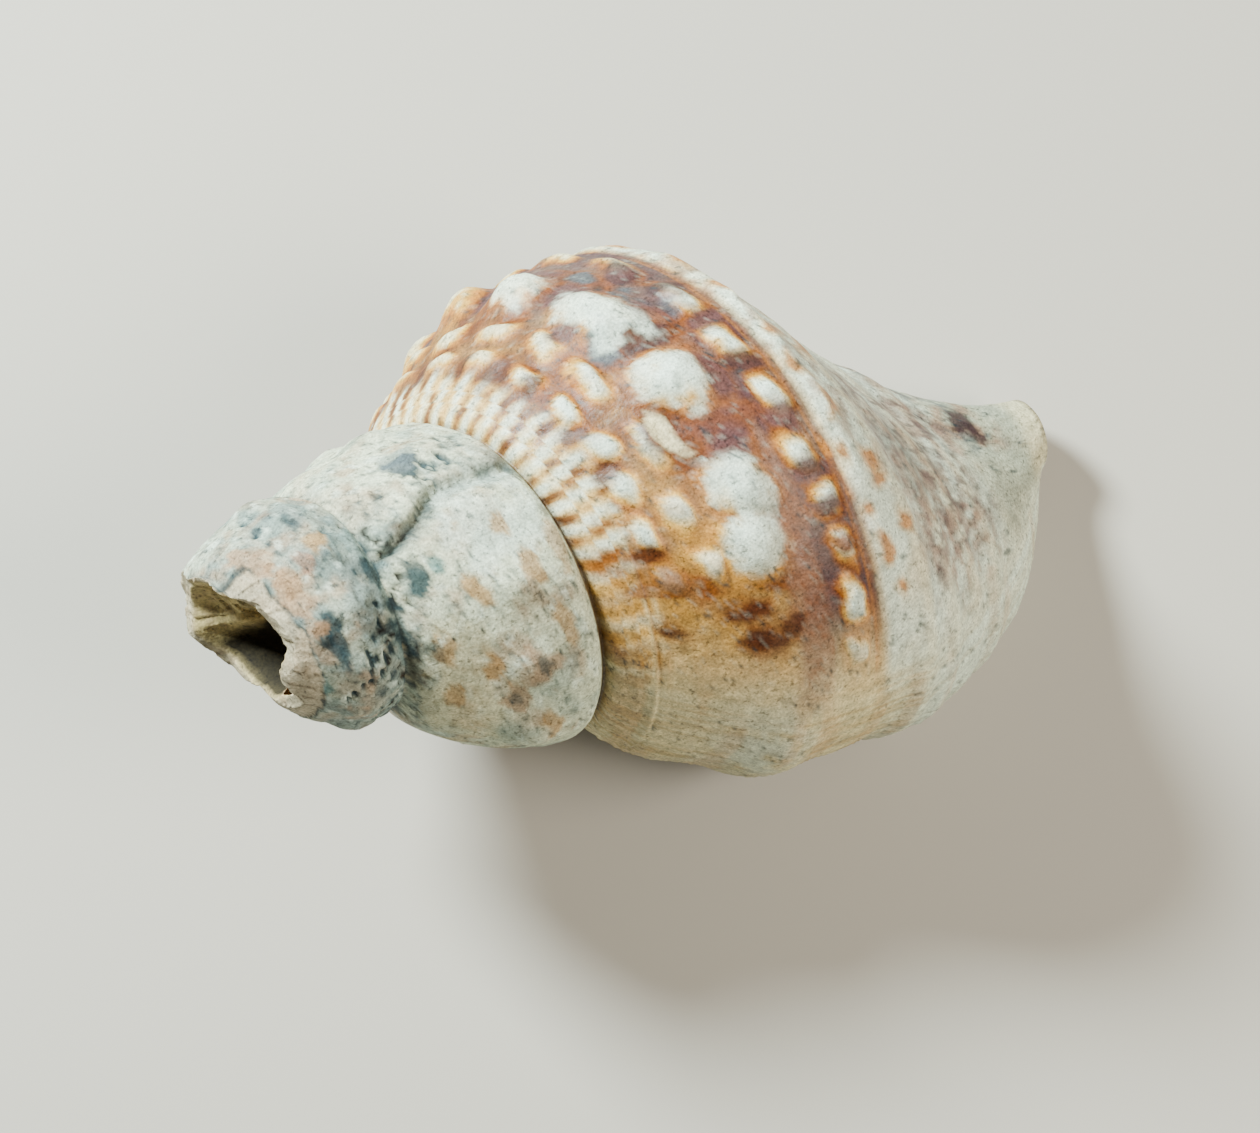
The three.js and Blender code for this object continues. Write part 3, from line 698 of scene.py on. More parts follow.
def cut(piece, tools):
    """Subtracts the tool meshes from the piece and removes them."""
    for tool in tools:
        modifier = piece.modifiers.new("cut", "BOOLEAN")
        modifier.operation = "DIFFERENCE"
        modifier.solver = "MANIFOLD"
        modifier.object = tool
    depsgraph = bpy.context.evaluated_depsgraph_get()
    mesh = bpy.data.meshes.new_from_object(piece.evaluated_get(depsgraph))
    piece.modifiers.clear()
    old = piece.data
    piece.data = mesh
    bpy.data.meshes.remove(old)
    for tool in tools:
        tool_mesh = tool.data
        bpy.data.objects.remove(tool)
        bpy.data.meshes.remove(tool_mesh)


def points_of(mesh):
    flat = np.empty(len(mesh.vertices) * 3, np.float32)
    mesh.vertices.foreach_get("co", flat)
    return flat.reshape(-1, 3).astype(float)


def nearest(points, targets):
    """For each target, the index of the nearest point and how far it is."""
    tree = KDTree(len(points))
    for i, point in enumerate(points):
        tree.insert(point, i)
    tree.balance()
    found = [tree.find(target) for target in targets]
    return np.array([f[1] for f in found]), np.array([f[2] for f in found])


def colour(red, green, blue):
    """Linear colour from screen values of 0 to 255, with its strength kept under soft light."""
    screen = np.array([red, green, blue]) / 255
    linear = np.where(screen <= 0.04045, screen / 12.92, ((screen + 0.055) / 1.055) ** 2.4)
    grey = linear.mean()
    return np.clip(grey + (linear - grey) * VIVID, 0.002, 0.95)


WHITE = colour(222, 235, 218)
CREAM = colour(226, 216, 178)
AMBER = colour(208, 164, 98)
ORANGE = colour(174, 118, 70)
RUST = colour(116, 68, 40)
FLAME = colour(70, 38, 26)
PURPLE = colour(88, 64, 64)
DARK_PURPLE = colour(56, 42, 44)
PINK_BROWN = colour(146, 112, 92)
SLATE = colour(74, 84, 88)
CHALK = colour(206, 212, 186)
TAN_CHALK = colour(192, 178, 152)
BLUE_GREY = colour(122, 142, 136)
GREY = colour(128, 138, 130)
STAIN = colour(36, 52, 56)
TEAL = colour(84, 116, 112)
TAN = colour(158, 138, 114)
WARM_TAN = colour(166, 132, 90)
PINK_TAN = colour(168, 136, 106)
CANAL_GREEN = colour(158, 162, 142)
LIP_CREAM = colour(216, 208, 168)
LIP_TAN = colour(176, 152, 108)
INSIDE = colour(226, 196, 158)
SEPTUM = colour(204, 186, 136)
BROKEN = colour(176, 166, 142)
# Dirt, also used as painted shade in the gap along the newest seam.
DIRT_AND_SHADE = colour(70, 58, 42)
# Near-black painted shade for the hole in the broken spire and the eaten pits of the worn seams.
HOLE_SHADE = colour(24, 21, 14)


class Paint:
    """Colour of every point, laid on in named patches."""

    def __init__(self, turn, across, points):
        self.turn = turn
        self.across = across
        self.points = points
        self.ragged = rough_noise(points, 6, 50, 4)
        self.drift, self.across_drift = wander(points)
        self.rgb = np.tile(CREAM, (len(turn), 1))

    def lay(self, mask, tone):
        share = np.clip(mask, 0, 1)[:, None]
        self.rgb = self.rgb * (1 - share) + tone * share

    def spot(self, at, middle, length, width, edge=0.35):
        """A ragged patch round a place."""
        along = (self.turn + self.drift - at) / length
        side = (self.across + self.across_drift - middle) / width
        return ease((1.15 - np.hypot(along, side) + edge * self.ragged) / 0.4)

    def zone(self, turns, acrosses, soft_turn=0.015, soft_across=0.05, edge=0.6):
        """A ragged block from one turn to another and one place across to another."""
        wobble = edge * self.ragged
        along = np.minimum(self.turn - turns[0], turns[1] - self.turn) / soft_turn
        side = np.minimum(self.across - acrosses[0], acrosses[1] - self.across) / soft_across
        return ease(0.5 + along + wobble) * ease(0.5 + side + wobble)

    def torn(self, start, gain=1):
        """Ragged flecks. A higher start gives more of them, as in the two below."""
        return ease(start + gain * self.ragged)

    def cloud(self, size, seed, start, gain=1):
        return ease(start + gain * rough_noise(self.points, size, seed))

    def specks(self, size, seed, start, gain):
        return ease(start + gain * noise(self.points, size, seed))

    def clouds(self, where, layers):
        """Clouds of colour. Each layer: strength, size in mm, seed, start, gain, colour."""
        for strength, size, seed, start, gain, tone in layers:
            self.lay(where * strength * self.cloud(size, seed, start, gain), tone)


def tone_ramp(value, steps):
    """Colour by value: steps are (value, colour), where a colour may differ from point to point."""
    rgb = np.broadcast_to(steps[0][1], (len(value), 3)).copy()
    for (low, _), (high, tone) in zip(steps, steps[1:]):
        share = fade(value, low, high - low)[:, None]
        rgb = rgb * (1 - share) + tone * share
    return rgb


def knob_light(paint, knobs, reach):
    """1 on the knobs and falling to 0 between them."""
    light = np.zeros(len(paint.turn))
    for at, middle, length, width, _ in knobs:
        along = (paint.turn + paint.drift - at) / (length * reach)
        side = (paint.across + paint.across_drift - middle) / (width * reach)
        far = (np.abs(along) ** 3 + np.abs(side) ** 3) ** (1 / 3)
        light = np.maximum(light, np.exp(-0.9 * far**2.3))
    return light


def knob_pattern(paint):
    """White knobs with cream, amber and brown between them, duller on the side away from the lip."""
    rows = sum([row_knobs(row) for row in KNOB_ROWS], [])
    keel_light = knob_light(paint, KEEL_KNOBS[:PALE_KEEL_KNOBS], 1.2)
    light = np.maximum(keel_light, knob_light(paint, rows, 1.02))
    dull = fade(paint.turn, *DULL_SIDE)
    value = light + 0.2 * paint.ragged + 0.06 * noise(paint.points, 1.8, 61) - 0.03 - 0.18 * dull
    top = WHITE + (CREAM - WHITE) * 0.7 * dull[:, None]
    keel_side = fade(paint.across, 0.36, 0.1)[:, None]
    dark = keel_side * (0.75 * PURPLE + 0.25 * DARK_PURPLE) + (1 - keel_side) * (0.5 * RUST + 0.5 * FLAME)
    steps = [(0, dark), (0.1, dark), (0.27, RUST), (0.42, ORANGE), (0.56, AMBER), (0.7, CREAM), (0.86, top)]
    return tone_ramp(value, steps)


def pattern_strength(paint):
    """How strongly the knob pattern shows, away from the lip, the seam and the base."""
    shown = fade(paint.turn, -0.13, -0.07) * fade(paint.across, 0.1, 0.06)
    shown = shown * (0.8 + 0.2 * paint.cloud(26, 62, 0.75, 1.1))
    return shown * fade(paint.across, 0.95, -0.06)


def paint_seam(paint, body):
    """The cords along the seam, beaded in blocks of brown and white, with painted shade in rusty streaks on
    the part nearest the lip.
    """
    paint.lay(paint.zone(SEAM_TURNS, (-0.1, 0.16)) * 0.55, CREAM)
    beads = np.cos(2 * np.pi * (paint.turn / CORD_BEAD + CORD_STEP * cord_index(paint.across)))
    seam_zone = paint.zone(SEAM_TURNS, (-0.1, 0.17)) * body
    cloud = rough_noise(paint.points, 9, 66)
    for start, bead, gain, texture, strength, tone in (
        (0.6, -0.7, 0.9, paint.ragged, 0.7, AMBER), (0.1, -0.8, 1.4, cloud, 0.8, RUST),
        (-0.6, -0.9, 1.8, cloud, 0.8, FLAME), (0.0, 1.0, 1.1, paint.ragged, 0.7, WHITE),
    ):
        paint.lay(ease(start + bead * beads + gain * texture) * seam_zone * strength, tone)
    # Painted shade: rusty streaks darken the seam's part nearest the lip, beside the older whorl.
    low = fade(paint.turn, -0.3, 0.1)
    painted_seam_shade = seam_zone * low * ease(0.3 + 1.6 * streaky(paint.turn, paint.across, 60, 4, 69))
    paint.lay(painted_seam_shade * 0.75, RUST)
    paint.lay(thin_cords(paint.across) * seam_zone * low * 0.75, CREAM)


def paint_before_lip(paint):
    """Rusty streaks where the knobs end."""
    paint.lay(paint.zone((-0.24, -0.12), (0.0, 0.6), 0.04, 0.08) * 0.45, AMBER)
    streak = streaky(paint.turn, paint.across, 90, 5, 68)
    streaks = ease(2.2 * streak + 0.5 * paint.ragged - 0.2)
    paint.lay(paint.zone((-0.26, -0.11), (0.02, 0.7), 0.04, 0.08) * streaks * 0.85, RUST)


def paint_knob_patches(paint):
    """Single dark patches between the knobs, and the whitest knobs."""
    for at, middle, length, width, tone in BODY_PATCHES:
        paint.lay(paint.spot(at, middle, length * 1.7, width * 1.35, 0.5) * 0.45, RUST)
        paint.lay(paint.spot(at, middle, length, width, 0.5) * 0.85, tone)
    for at, middle, length, width, _ in KEEL_KNOBS[FIRST_WHITE_KNOB:PALE_KEEL_KNOBS]:
        paint.lay(paint.spot(at, middle, length * 1.05, width, 0.6) * 0.75, WHITE)


def paint_body(paint):
    """The last whorl's pale knobs, the brown between them, and its bands."""
    body = (paint.turn >= -1) & (paint.across <= 1.02)
    paint.lay(body * 0.65 * paint.cloud(18, 60, 0.5, 0.9), AMBER)
    paint.lay(body * pattern_strength(paint), knob_pattern(paint))
    paint.lay(paint.zone((-0.6, -0.15), (0.24, 0.44), 0.03, 0.06) * 0.3 * paint.cloud(8, 64, 0.4), AMBER)
    paint_seam(paint, body)
    paint_before_lip(paint)
    paint.lay(paint.zone(*BROWN_BAND) * 0.6, PINK_BROWN)
    paint.lay(paint.zone(*BROWN_BAND) * paint.specks(1.5, 63, -0.2, 3) * 0.45, RUST)
    paint.lay(paint.zone((-0.45, -0.13), (0.875, 0.89), 0.03, 0.012, 0.2) * 0.55, ORANGE)
    paint_knob_patches(paint)
    # Painted shade: purple clouds darken the last whorl below the keel, round the second row of knobs.
    paint.lay(paint.zone((-0.54, -0.37), (0.6, 0.86), 0.04, 0.06) * 0.6 * paint.cloud(9, 82, 0.1, 2), PURPLE)
    paint.lay(paint.zone((-0.2, -0.06), (0.02, 0.34), 0.04, 0.08) * 0.4 * paint.torn(0.4), LIP_TAN)
    paint.lay(body * paint.specks(1.3, 67, -1.3, 3) * 0.12, WHITE)


# Where the colours of the last whorl lie, in turns and across.
KNOB_ROWS = (SECOND_ROW, UPPER_ROW, SEAM_ROW, THIRD_ROW)
PALE_KEEL_KNOBS = 12
FIRST_WHITE_KNOB = 7
DULL_SIDE = (-0.36, -0.1)
SEAM_TURNS = (-0.97, -0.02)
BROWN_BAND = ((-0.9, -0.12), (0.57, 0.7), 0.03, 0.04)

# Patches on the last whorl: turn, across, half length, half width, colour.
BODY_PATCHES = [
    (-0.531, 0.18, 0.008, 0.05, FLAME), (-0.471, 0.18, 0.008, 0.05, FLAME), (-0.431, 0.18, 0.01, 0.06, FLAME),
    (-0.396, 0.18, 0.007, 0.05, FLAME), (-0.341, 0.18, 0.007, 0.05, FLAME),
    (-0.306, 0.18, 0.007, 0.05, FLAME),
    (-0.241, 0.18, 0.006, 0.05, FLAME), (-0.181, 0.18, 0.006, 0.04, FLAME),
    (-0.379, 0.52, 0.012, 0.16, DARK_PURPLE), (-0.309, 0.57, 0.01, 0.12, PURPLE),
    (-0.335, 0.65, 0.024, 0.05, PURPLE), (-0.446, 0.65, 0.03, 0.045, DARK_PURPLE),
    (-0.405, 0.69, 0.026, 0.04, PURPLE), (-0.5, 0.66, 0.03, 0.04, PURPLE),
    (-0.441, 0.55, 0.01, 0.1, PURPLE), (-0.196, 0.43, 0.006, 0.06, FLAME), (-0.171, 0.43, 0.006, 0.05, FLAME),
    (-0.181, 0.55, 0.008, 0.05, FLAME), (-0.451, 0.66, 0.014, 0.04, SLATE),
    (-0.411, 0.67, 0.014, 0.04, SLATE),
    (-0.405, 0.72, 0.022, 0.05, SLATE), (-0.435, 0.76, 0.014, 0.05, DARK_PURPLE),
    (-0.384, 0.44, 0.014, 0.045, SLATE), (-0.298, 0.55, 0.012, 0.09, PURPLE),
    (-0.192, 0.42, 0.007, 0.09, FLAME), (-0.173, 0.46, 0.006, 0.08, FLAME),
    (-0.21, 0.3, 0.009, 0.05, RUST), (-0.41, 0.4, 0.01, 0.045, PURPLE), (-0.46, 0.4, 0.01, 0.04, RUST),
    (-0.406, 0.79, 0.008, 0.09, DARK_PURPLE), (-0.371, 0.79, 0.007, 0.07, PURPLE),
    (-0.336, 0.79, 0.007, 0.07, DARK_PURPLE), (-0.301, 0.79, 0.007, 0.07, PURPLE),
    (-0.271, 0.79, 0.007, 0.07, PURPLE), (-0.246, 0.79, 0.006, 0.06, PURPLE),
    (-0.221, 0.79, 0.006, 0.06, RUST),
    (-0.311, 0.4, 0.02, 0.075, FLAME), (-0.311, 0.4, 0.013, 0.05, CREAM),
    (-0.281, 0.9, 0.006, 0.025, ORANGE), (-0.251, 0.92, 0.006, 0.025, ORANGE),
    (-0.231, 0.94, 0.006, 0.02, ORANGE),
]


def paint_base(paint):
    """The base of the last whorl and the canal."""
    turn = paint.turn
    across = paint.across
    whole = (turn >= -1) & (across > 0.9)
    paint.lay(whole * fade(across, 0.9, 0.06) * 0.9, WHITE)
    paint.lay(whole * paint.cloud(20, 74, -0.2, 1.8) * 0.3, AMBER)
    paint.lay(whole * fade(across, 1.1, 0.3) * 0.4 * paint.cloud(12, 70, 0.2, 1.4), PINK_TAN)
    off = across - 1.12 - (turn + 0.31) * 2.1
    diagonal = ease((0.22 - np.abs(off)) / 0.1 + 0.4 * paint.ragged)
    paint.lay(whole * diagonal * (turn < -0.08) * 0.6 * paint.specks(3, 71, 0.4, 1.5), PINK_BROWN)
    ridged = whole * (across > 1.08)
    ridge = ease(np.cos(2 * np.pi * (across - BASE_RIDGES["first"]) / BASE_RIDGES["pitch"]))
    paint.lay(ridged * (1 - ridge) * 0.3 * paint.specks(5, 72, 0.5, 2), PURPLE)
    paint.lay(ridged * ridge * 0.35, CREAM)
    paint.lay(paint.zone((-0.28, -0.22), (1.2, 1.36), 0.01, 0.04) * 0.6, GREY)
    paint_canal(paint, whole)
    for at, middle, length, width in BASE_SPOTS:
        paint.lay(paint.spot(at, middle, length * 1.5, width * 1.5, 0.5) * 0.4, AMBER)
        paint.lay(paint.spot(at, middle, length, width, 0.5) * 0.8, ORANGE)
    shade = paint.zone((-0.34, -0.17), (1.16, 1.62), 0.03, 0.12)
    paint.clouds(shade, [(0.6, 7, 75, 0.6, 1.2, PINK_BROWN)])
    paint.lay(shade * paint.specks(3.2, 76, -0.6, 3) * 0.7, PURPLE)
    paint.lay(shade * paint.specks(2.2, 77, -1.4, 3) * 0.7, DARK_PURPLE)
    around = paint.zone((-0.97, -0.45), (1.0, 1.6), 0.05, 0.1)
    paint.lay(around * paint.specks(8, 73, -0.3, 3) * 0.6, PINK_BROWN)


def paint_canal(paint, whole):
    """The green canal with its purple blotches and pale tip."""
    paint.lay(whole * fade(paint.across, 1.55, 0.2) * 0.85, CANAL_GREEN)
    blotched = paint.zone((-0.5, -0.24), (1.5, 1.85), 0.04, 0.08)
    paint.clouds(blotched, [(0.7, 5, 78, 0.4, 1.8, PINK_BROWN), (0.7, 4, 79, -0.2, 2.4, SLATE)])
    paint.lay(paint.spot(-0.344, 1.77, 0.06, 0.05, 0.7) * 0.9, DARK_PURPLE)
    paint.lay(paint.spot(-0.3, 1.78, 0.04, 0.03, 0.7) * 0.85, DARK_PURPLE)
    paint.lay(whole * fade(paint.across, 1.9, 0.06) * 0.6, CREAM)


# Spots on the base: turn, across, half length, half width.
BASE_SPOTS = [
    (-0.277, 0.96, 0.006, 0.025), (-0.268, 1.05, 0.007, 0.03), (-0.238, 0.96, 0.006, 0.025),
    (-0.217, 0.98, 0.006, 0.028), (-0.192, 1.01, 0.005, 0.024), (-0.252, 1.06, 0.006, 0.03),
    (-0.224, 1.1, 0.006, 0.03), (-0.3, 1.0, 0.007, 0.028), (-0.325, 0.98, 0.007, 0.03),
    (-0.355, 1.0, 0.008, 0.03), (-0.39, 0.99, 0.008, 0.03), (-0.43, 1.0, 0.009, 0.03),
    (-0.475, 1.0, 0.01, 0.03), (-0.525, 1.0, 0.01, 0.03), (-0.58, 1.0, 0.012, 0.03),
    (-0.64, 1.0, 0.012, 0.03), (-0.7, 1.0, 0.012, 0.03), (-0.76, 1.0, 0.012, 0.03),
    (-0.345, 1.1, 0.007, 0.03), (-0.41, 1.11, 0.008, 0.03), (-0.5, 1.1, 0.01, 0.03),
    (-0.6, 1.11, 0.012, 0.03), (-0.7, 1.1, 0.012, 0.03),
]


def paint_lip(paint):
    """The smooth young shell towards the lip."""
    near = ease((paint.turn + 0.16 + 0.012 * paint.ragged) / 0.05)
    below = fade(paint.across, 0.95, 0.3)
    paint.lay(near * 0.85, LIP_CREAM)
    paint.lay(near * below * 0.85, WHITE)
    lines = streaky(paint.turn, paint.across, 330, 3, 80)
    paint.lay(near * ease(0.2 + 1.6 * lines) * (1 - 0.6 * below) * 0.6, LIP_TAN)
    keel = hump(paint.turn + 0.07, 0.07) * hump(paint.across - 0.5, 0.2)
    paint.lay(keel * 0.6 * paint.torn(0.8), WHITE)
    bands = ease(2.5 * streaky(paint.turn, paint.across, 12, 22, 81) - 0.2)
    paint.lay(near * bands * 0.25, ORANGE)


# Clouds on the older whorls and on the third one: strength, size in mm, seed, start, gain, colour.
OLD_CLOUDS = [
    (0.6, 15, 90, 0.05, 1.9, TAN_CHALK), (0.7, 8, 91, -0.2, 2.4, TAN), (0.5, 11, 95, -0.1, 2.2, BLUE_GREY),
]
THIRD_CLOUDS = [(0.85, 9, 92, 0.4, 2.2, BLUE_GREY), (0.6, 6, 99, -0.3, 2.6, SLATE)]


def paint_spire(paint):
    """The chalky, weathered older whorls."""
    turn = paint.turn
    across = paint.across
    old = ease((-0.93 - turn) / 0.06 + 0.5 + 0.5 * paint.ragged) * (across < 1.0)
    old = np.maximum(old, turn < -1)
    third = old * fade(turn, *THIRD_WHORL)
    paint.lay(old, CHALK)
    paint.clouds(old, OLD_CLOUDS)
    paint.clouds(third, THIRD_CLOUDS)
    paint.lay(third * 0.5, GREY)
    paint.clouds(third, [(0.5, 8, 93, -0.1, 2.4, PINK_TAN)])
    paint.lay(old * 0.5 * paint.specks(2.6, 96, -0.9, 2.5), WHITE)
    paint.lay(old * 0.6 * paint.specks(1.5, 94, -1.2, 3), STAIN)
    paint_old_lip(paint, old)
    under = ease(1 - across / 0.1) * paint.torn(0.25, 1.6) * fade(turn, -1.75, 0.2)
    paint.lay(old * under * 0.7, STAIN)
    over = third * ease(1 - (1 - across) / 0.16) * paint.torn(0.1, 2.2)
    paint.lay(over * 0.8, STAIN)
    eaten = old * worn_seam(turn, across)
    paint.lay(eaten * 0.6 * paint.torn(0.6, 1.5), BLUE_GREY)
    paint.lay(eaten * 0.9 * paint.cloud(5, 98, 0.2, 2.4), STAIN)
    # Painted shade in the eaten pits of the worn seams.
    paint.lay(eaten * paint.specks(2.6, 19, -1.4, 4), HOLE_SHADE)
    # Darker along both seams of the older whorls.
    seam_darkening = ease(1 - (1 - across) / 0.02) + ease(1 - across / 0.025)
    paint.lay(old * seam_darkening * 0.7 * paint.torn(0.8), STAIN)
    for at, middle, length, width, tone, strength in SPIRE_PATCHES:
        paint.lay(paint.spot(at, middle, length * 1.25, width * 1.25, 1.0) * strength, tone)
    # Painted shade: the pits are painted near-black.
    paint.lay(fade(pits(turn, across), 0.3, 0.5) * 0.95, STAIN)


def paint_old_lip(paint, old):
    """The groove behind the old lip, painted dark, and the bored holes before it, painted shade in dark
    specks.
    """
    off = from_old_lip(paint.turn, paint.across, paint.points)
    before = hump(off + 0.03, 0.03) * (off < 0) * (paint.turn > -1.6)
    paint.lay(old * before * 0.55 * paint.torn(0.3, 1.8), BLUE_GREY)
    holes = before * paint.specks(2.4, 97, -1.2, 3.4)
    # Painted shade for the bored holes.
    paint.lay(old * holes * 0.95, STAIN)
    groove = hump(off - OLD_GROOVE_WIDTH, OLD_GROOVE_WIDTH * 1.35)
    paint.lay(old * groove * paint.torn(1.0, 0.9) * 0.92, STAIN)


# Patches on the older whorls: turn, across, half length, half width, colour, strength.
SPIRE_PATCHES = [
    (-1.416, 0.5, 0.012, 0.1, GREY, 0.8), (-1.496, 0.5, 0.006, 0.1, STAIN, 0.5),
    (-1.3, 0.65, 0.04, 0.26, WHITE, 0.6), (-1.126, 0.25, 0.08, 0.16, LIP_CREAM, 0.4),
    (-1.276, 0.25, 0.01, 0.05, TEAL, 0.8), (-1.261, 0.15, 0.012, 0.04, TEAL, 0.7),
    (-1.299, 0.67, 0.012, 0.05, WARM_TAN, 0.75), (-1.251, 0.71, 0.014, 0.06, WARM_TAN, 0.8),
    (-1.243, 0.41, 0.014, 0.05, WARM_TAN, 0.8), (-1.168, 0.62, 0.016, 0.07, TAN, 0.85),
    (-1.16, 0.41, 0.014, 0.05, WARM_TAN, 0.8), (-1.187, 0.19, 0.016, 0.05, WARM_TAN, 0.7),
    (-1.197, 0.81, 0.014, 0.05, WARM_TAN, 0.7), (-1.266, 0.93, 0.02, 0.04, WARM_TAN, 0.6),
    (-1.123, 0.5, 0.014, 0.06, TAN, 0.85), (-1.12, 0.22, 0.014, 0.05, WARM_TAN, 0.7),
    (-1.168, 0.62, 0.006, 0.03, STAIN, 0.7), (-1.123, 0.5, 0.006, 0.025, STAIN, 0.6),
    (-1.401, 0.45, 0.012, 0.07, SLATE, 0.9), (-1.271, 0.15, 0.02, 0.05, STAIN, 0.8),
    (-1.091, 0.7, 0.012, 0.05, WARM_TAN, 0.7), (-1.161, 0.05, 0.016, 0.03, STAIN, 0.6),
    (-1.181, 0.13, 0.012, 0.03, STAIN, 0.5), (-2.221, 0.43, 0.028, 0.075, STAIN, 0.9),
    (-2.431, 0.72, 0.02, 0.06, GREY, 0.7), (-2.461, 0.92, 0.02, 0.05, GREY, 0.7),
    (-2.111, 0.15, 0.02, 0.06, TEAL, 0.7), (-2.381, 0.25, 0.05, 0.1, PINK_TAN, 0.7),
    (-2.311, 0.3, 0.05, 0.1, PINK_TAN, 0.7), (-2.25, 0.75, 0.04, 0.1, GREY, 0.6),
    (-2.402, 0.62, 0.016, 0.05, STAIN, 0.75), (-2.43, 0.44, 0.008, 0.03, STAIN, 0.8),
    (-2.395, 0.41, 0.006, 0.025, STAIN, 0.8), (-2.357, 0.61, 0.02, 0.08, WARM_TAN, 0.7),
    (-2.34, 0.48, 0.02, 0.06, PINK_BROWN, 0.7), (-2.14, 0.2, 0.03, 0.1, TEAL, 0.7),
]


def around_spire(points):
    """Angle in degrees and distance from the middle of the broken spire."""
    y = points[..., 1] - SPIRE_SWING[0]
    z = points[..., 2] - SPIRE_SWING[1]
    return np.degrees(np.arctan2(-y, z)), np.hypot(y, z)


def peeled(points):
    """1 where the outermost layer has split off beside the break."""
    around, _ = around_spire(points)
    behind = points[..., 0] - BREAK_ALONG - BREAK_SLANT * facing(around, BREAK_LOW_SIDE)
    behind = behind + 0.9 * noise(points, 3.5, 42)
    return fade(behind, PEEL_LENGTH, -0.8) * fade(facing(around, PIT_SHALLOW_SIDE), 0.45, -0.15)


def paint_peeled(paint, around):
    """Cracked, dirty shell where the outermost layer has gone."""
    split = peeled(paint.points) * (paint.turn < PEELED_BEFORE)
    waves = np.radians(around * 180 / PEEL_CRACK) + 1.2 * noise(paint.points, 6, 43)
    crack = ease(9 * np.abs(np.sin(waves)) - 1.2)
    paint.lay(split * 0.75, TAN_CHALK)
    paint.lay(split * (1 - crack) * 0.7, DIRT_AND_SHADE)
    paint.lay(4 * split * (1 - split) * 0.85, STAIN)


def paint_inside(paint, inside):
    """The glazed hollow: white at the lip, tan and dirty deep in the spire."""
    turn = paint.turn
    paint.lay(inside, INSIDE)
    paint.lay(inside * fade(turn, -0.12, 0.12) * 0.7, WHITE)
    paint.lay(inside * fade(turn, -2.1, -0.2) * 0.75, SEPTUM)
    deep = inside * fade(turn, -1.9, -0.2) * paint.cloud(6, 102, 0.3)
    paint.lay(deep * 0.55, DIRT_AND_SHADE)


def paint_break(paint, broken, around, from_axis):
    """The broken face in layers, with the smooth wall and painted shade for the dark hole within it."""
    share = from_axis / (BREAK_RADIUS + BREAK_RADIUS_SLANT * facing(around, BREAK_LOW_SIDE))
    septum = broken * (paint.points[:, 0] < SPIRE_WITHIN) * fade(share, SEPTUM_REACH, -0.1)
    hole_side = ease((0.35 - facing(around, PIT_SHALLOW_SIDE)) / 0.3 + 0.3 * paint.ragged)
    hole_shade = septum * hole_side * fade(share, HOLE_REACH, -0.06)
    paint.lay(broken, BROKEN)
    paint.lay(septum * 0.85, SEPTUM)
    layers = ease(2 * noise(paint.points * np.array([1, 0.35, 0.35]), 1.2, 103))
    paint.lay(broken * layers * 0.4, TAN)
    paint.lay(broken * paint.cloud(4, 104, 0, 1.6) * 0.5, DIRT_AND_SHADE)
    # Painted shade: the hole into the spire is painted near-black.
    paint.lay(hole_shade * 0.97, HOLE_SHADE)


def paint_grime_and_seam_shade(paint):
    """Grime, dark dots, and painted shade in the gap along the newest seam."""
    paint.lay(paint.specks(3, 100, -1.1, 2.2) * 0.3, DIRT_AND_SHADE)
    paint.lay(paint.specks(1.7, 105, -3.3, 5) * 0.75, STAIN)
    # Painted shade in the narrow gap where the older whorl overhangs the newest seam.
    gap = fade(paint.across, 0.02, -0.008) * (paint.turn > -0.9) * (paint.across < 0.02)
    paint.lay(gap * 0.85, DIRT_AND_SHADE)


def painted(turn, across, region, points):
    """Colour and roughness of every point. region is 0 outside, 1 in the hollow and 2 on the break."""
    paint = Paint(turn, across, points)
    around, from_axis = around_spire(points)
    inside = (region == 1) * 1.0
    broken = (region == 2) * 1.0
    paint_body(paint)
    paint_base(paint)
    paint_lip(paint)
    paint_spire(paint)
    paint_peeled(paint, around)
    paint_grime_and_seam_shade(paint)
    paint_inside(paint, inside)
    paint_break(paint, broken, around, from_axis)
    rough = np.where(turn < -1, OLD_ROUGHNESS, YOUNG_ROUGHNESS) + 0.1 * noise(points, 10, 101)
    rough = np.where(inside, INSIDE_ROUGHNESS, rough)
    rough = np.where(broken, BROKEN_ROUGHNESS, rough)
    return paint.rgb, np.clip(rough, 0.2, 0.95)


def build_shell():
    """The shell cut from its solids, painted, and laid down in the resting pose."""
    shell_points, shell_faces = filled_shell()
    hollow_points, hollow_faces = winding_hollow()
    break_points, break_faces = broken_away()
    groove_points, groove_faces = canal_groove()
    piece = mesh_object("knobbed_shell", shell_points, shell_faces)
    tools = [
        mesh_object("hollow", hollow_points, hollow_faces),
        mesh_object("groove", groove_points, groove_faces),
        mesh_object("break", break_points, break_faces),
    ]
    cut(piece, tools)
    keep_largest(piece)
    mesh = piece.data
    at = points_of(mesh)
    on_shell, shell_far = nearest(shell_points[:, :3], at)
    on_hollow, hollow_far = nearest(hollow_points[:, :3], at)
    _, break_far = nearest(break_points[:, :3], at)
    _, groove_far = nearest(groove_points[:, :3], at)
    far = np.stack([shell_far, hollow_far * 0.5, np.minimum(break_far, groove_far)])
    region = far.argmin(0)
    turn = np.where(region == 1, hollow_points[on_hollow, 3], shell_points[on_shell, 3])
    across = np.where(region == 1, hollow_points[on_hollow, 4], shell_points[on_shell, 4])
    rgb, rough = painted(turn, across, region, at)
    tint = mesh.color_attributes.new("tint", "FLOAT_COLOR", "POINT")
    tint.data.foreach_set("color", np.column_stack([rgb, np.ones(len(rgb))]).astype(np.float32).ravel())
    layer = mesh.attributes.new("roughness", "FLOAT", "POINT")
    layer.data.foreach_set("value", rough.astype(np.float32))
    resting = laid_down(at) / 1000
    resting[:, 2] = np.maximum(resting[:, 2], 0)
    mesh.vertices.foreach_set("co", resting.astype(np.float32).ravel())
    mesh.update()
    mesh.shade_smooth()
    return piece


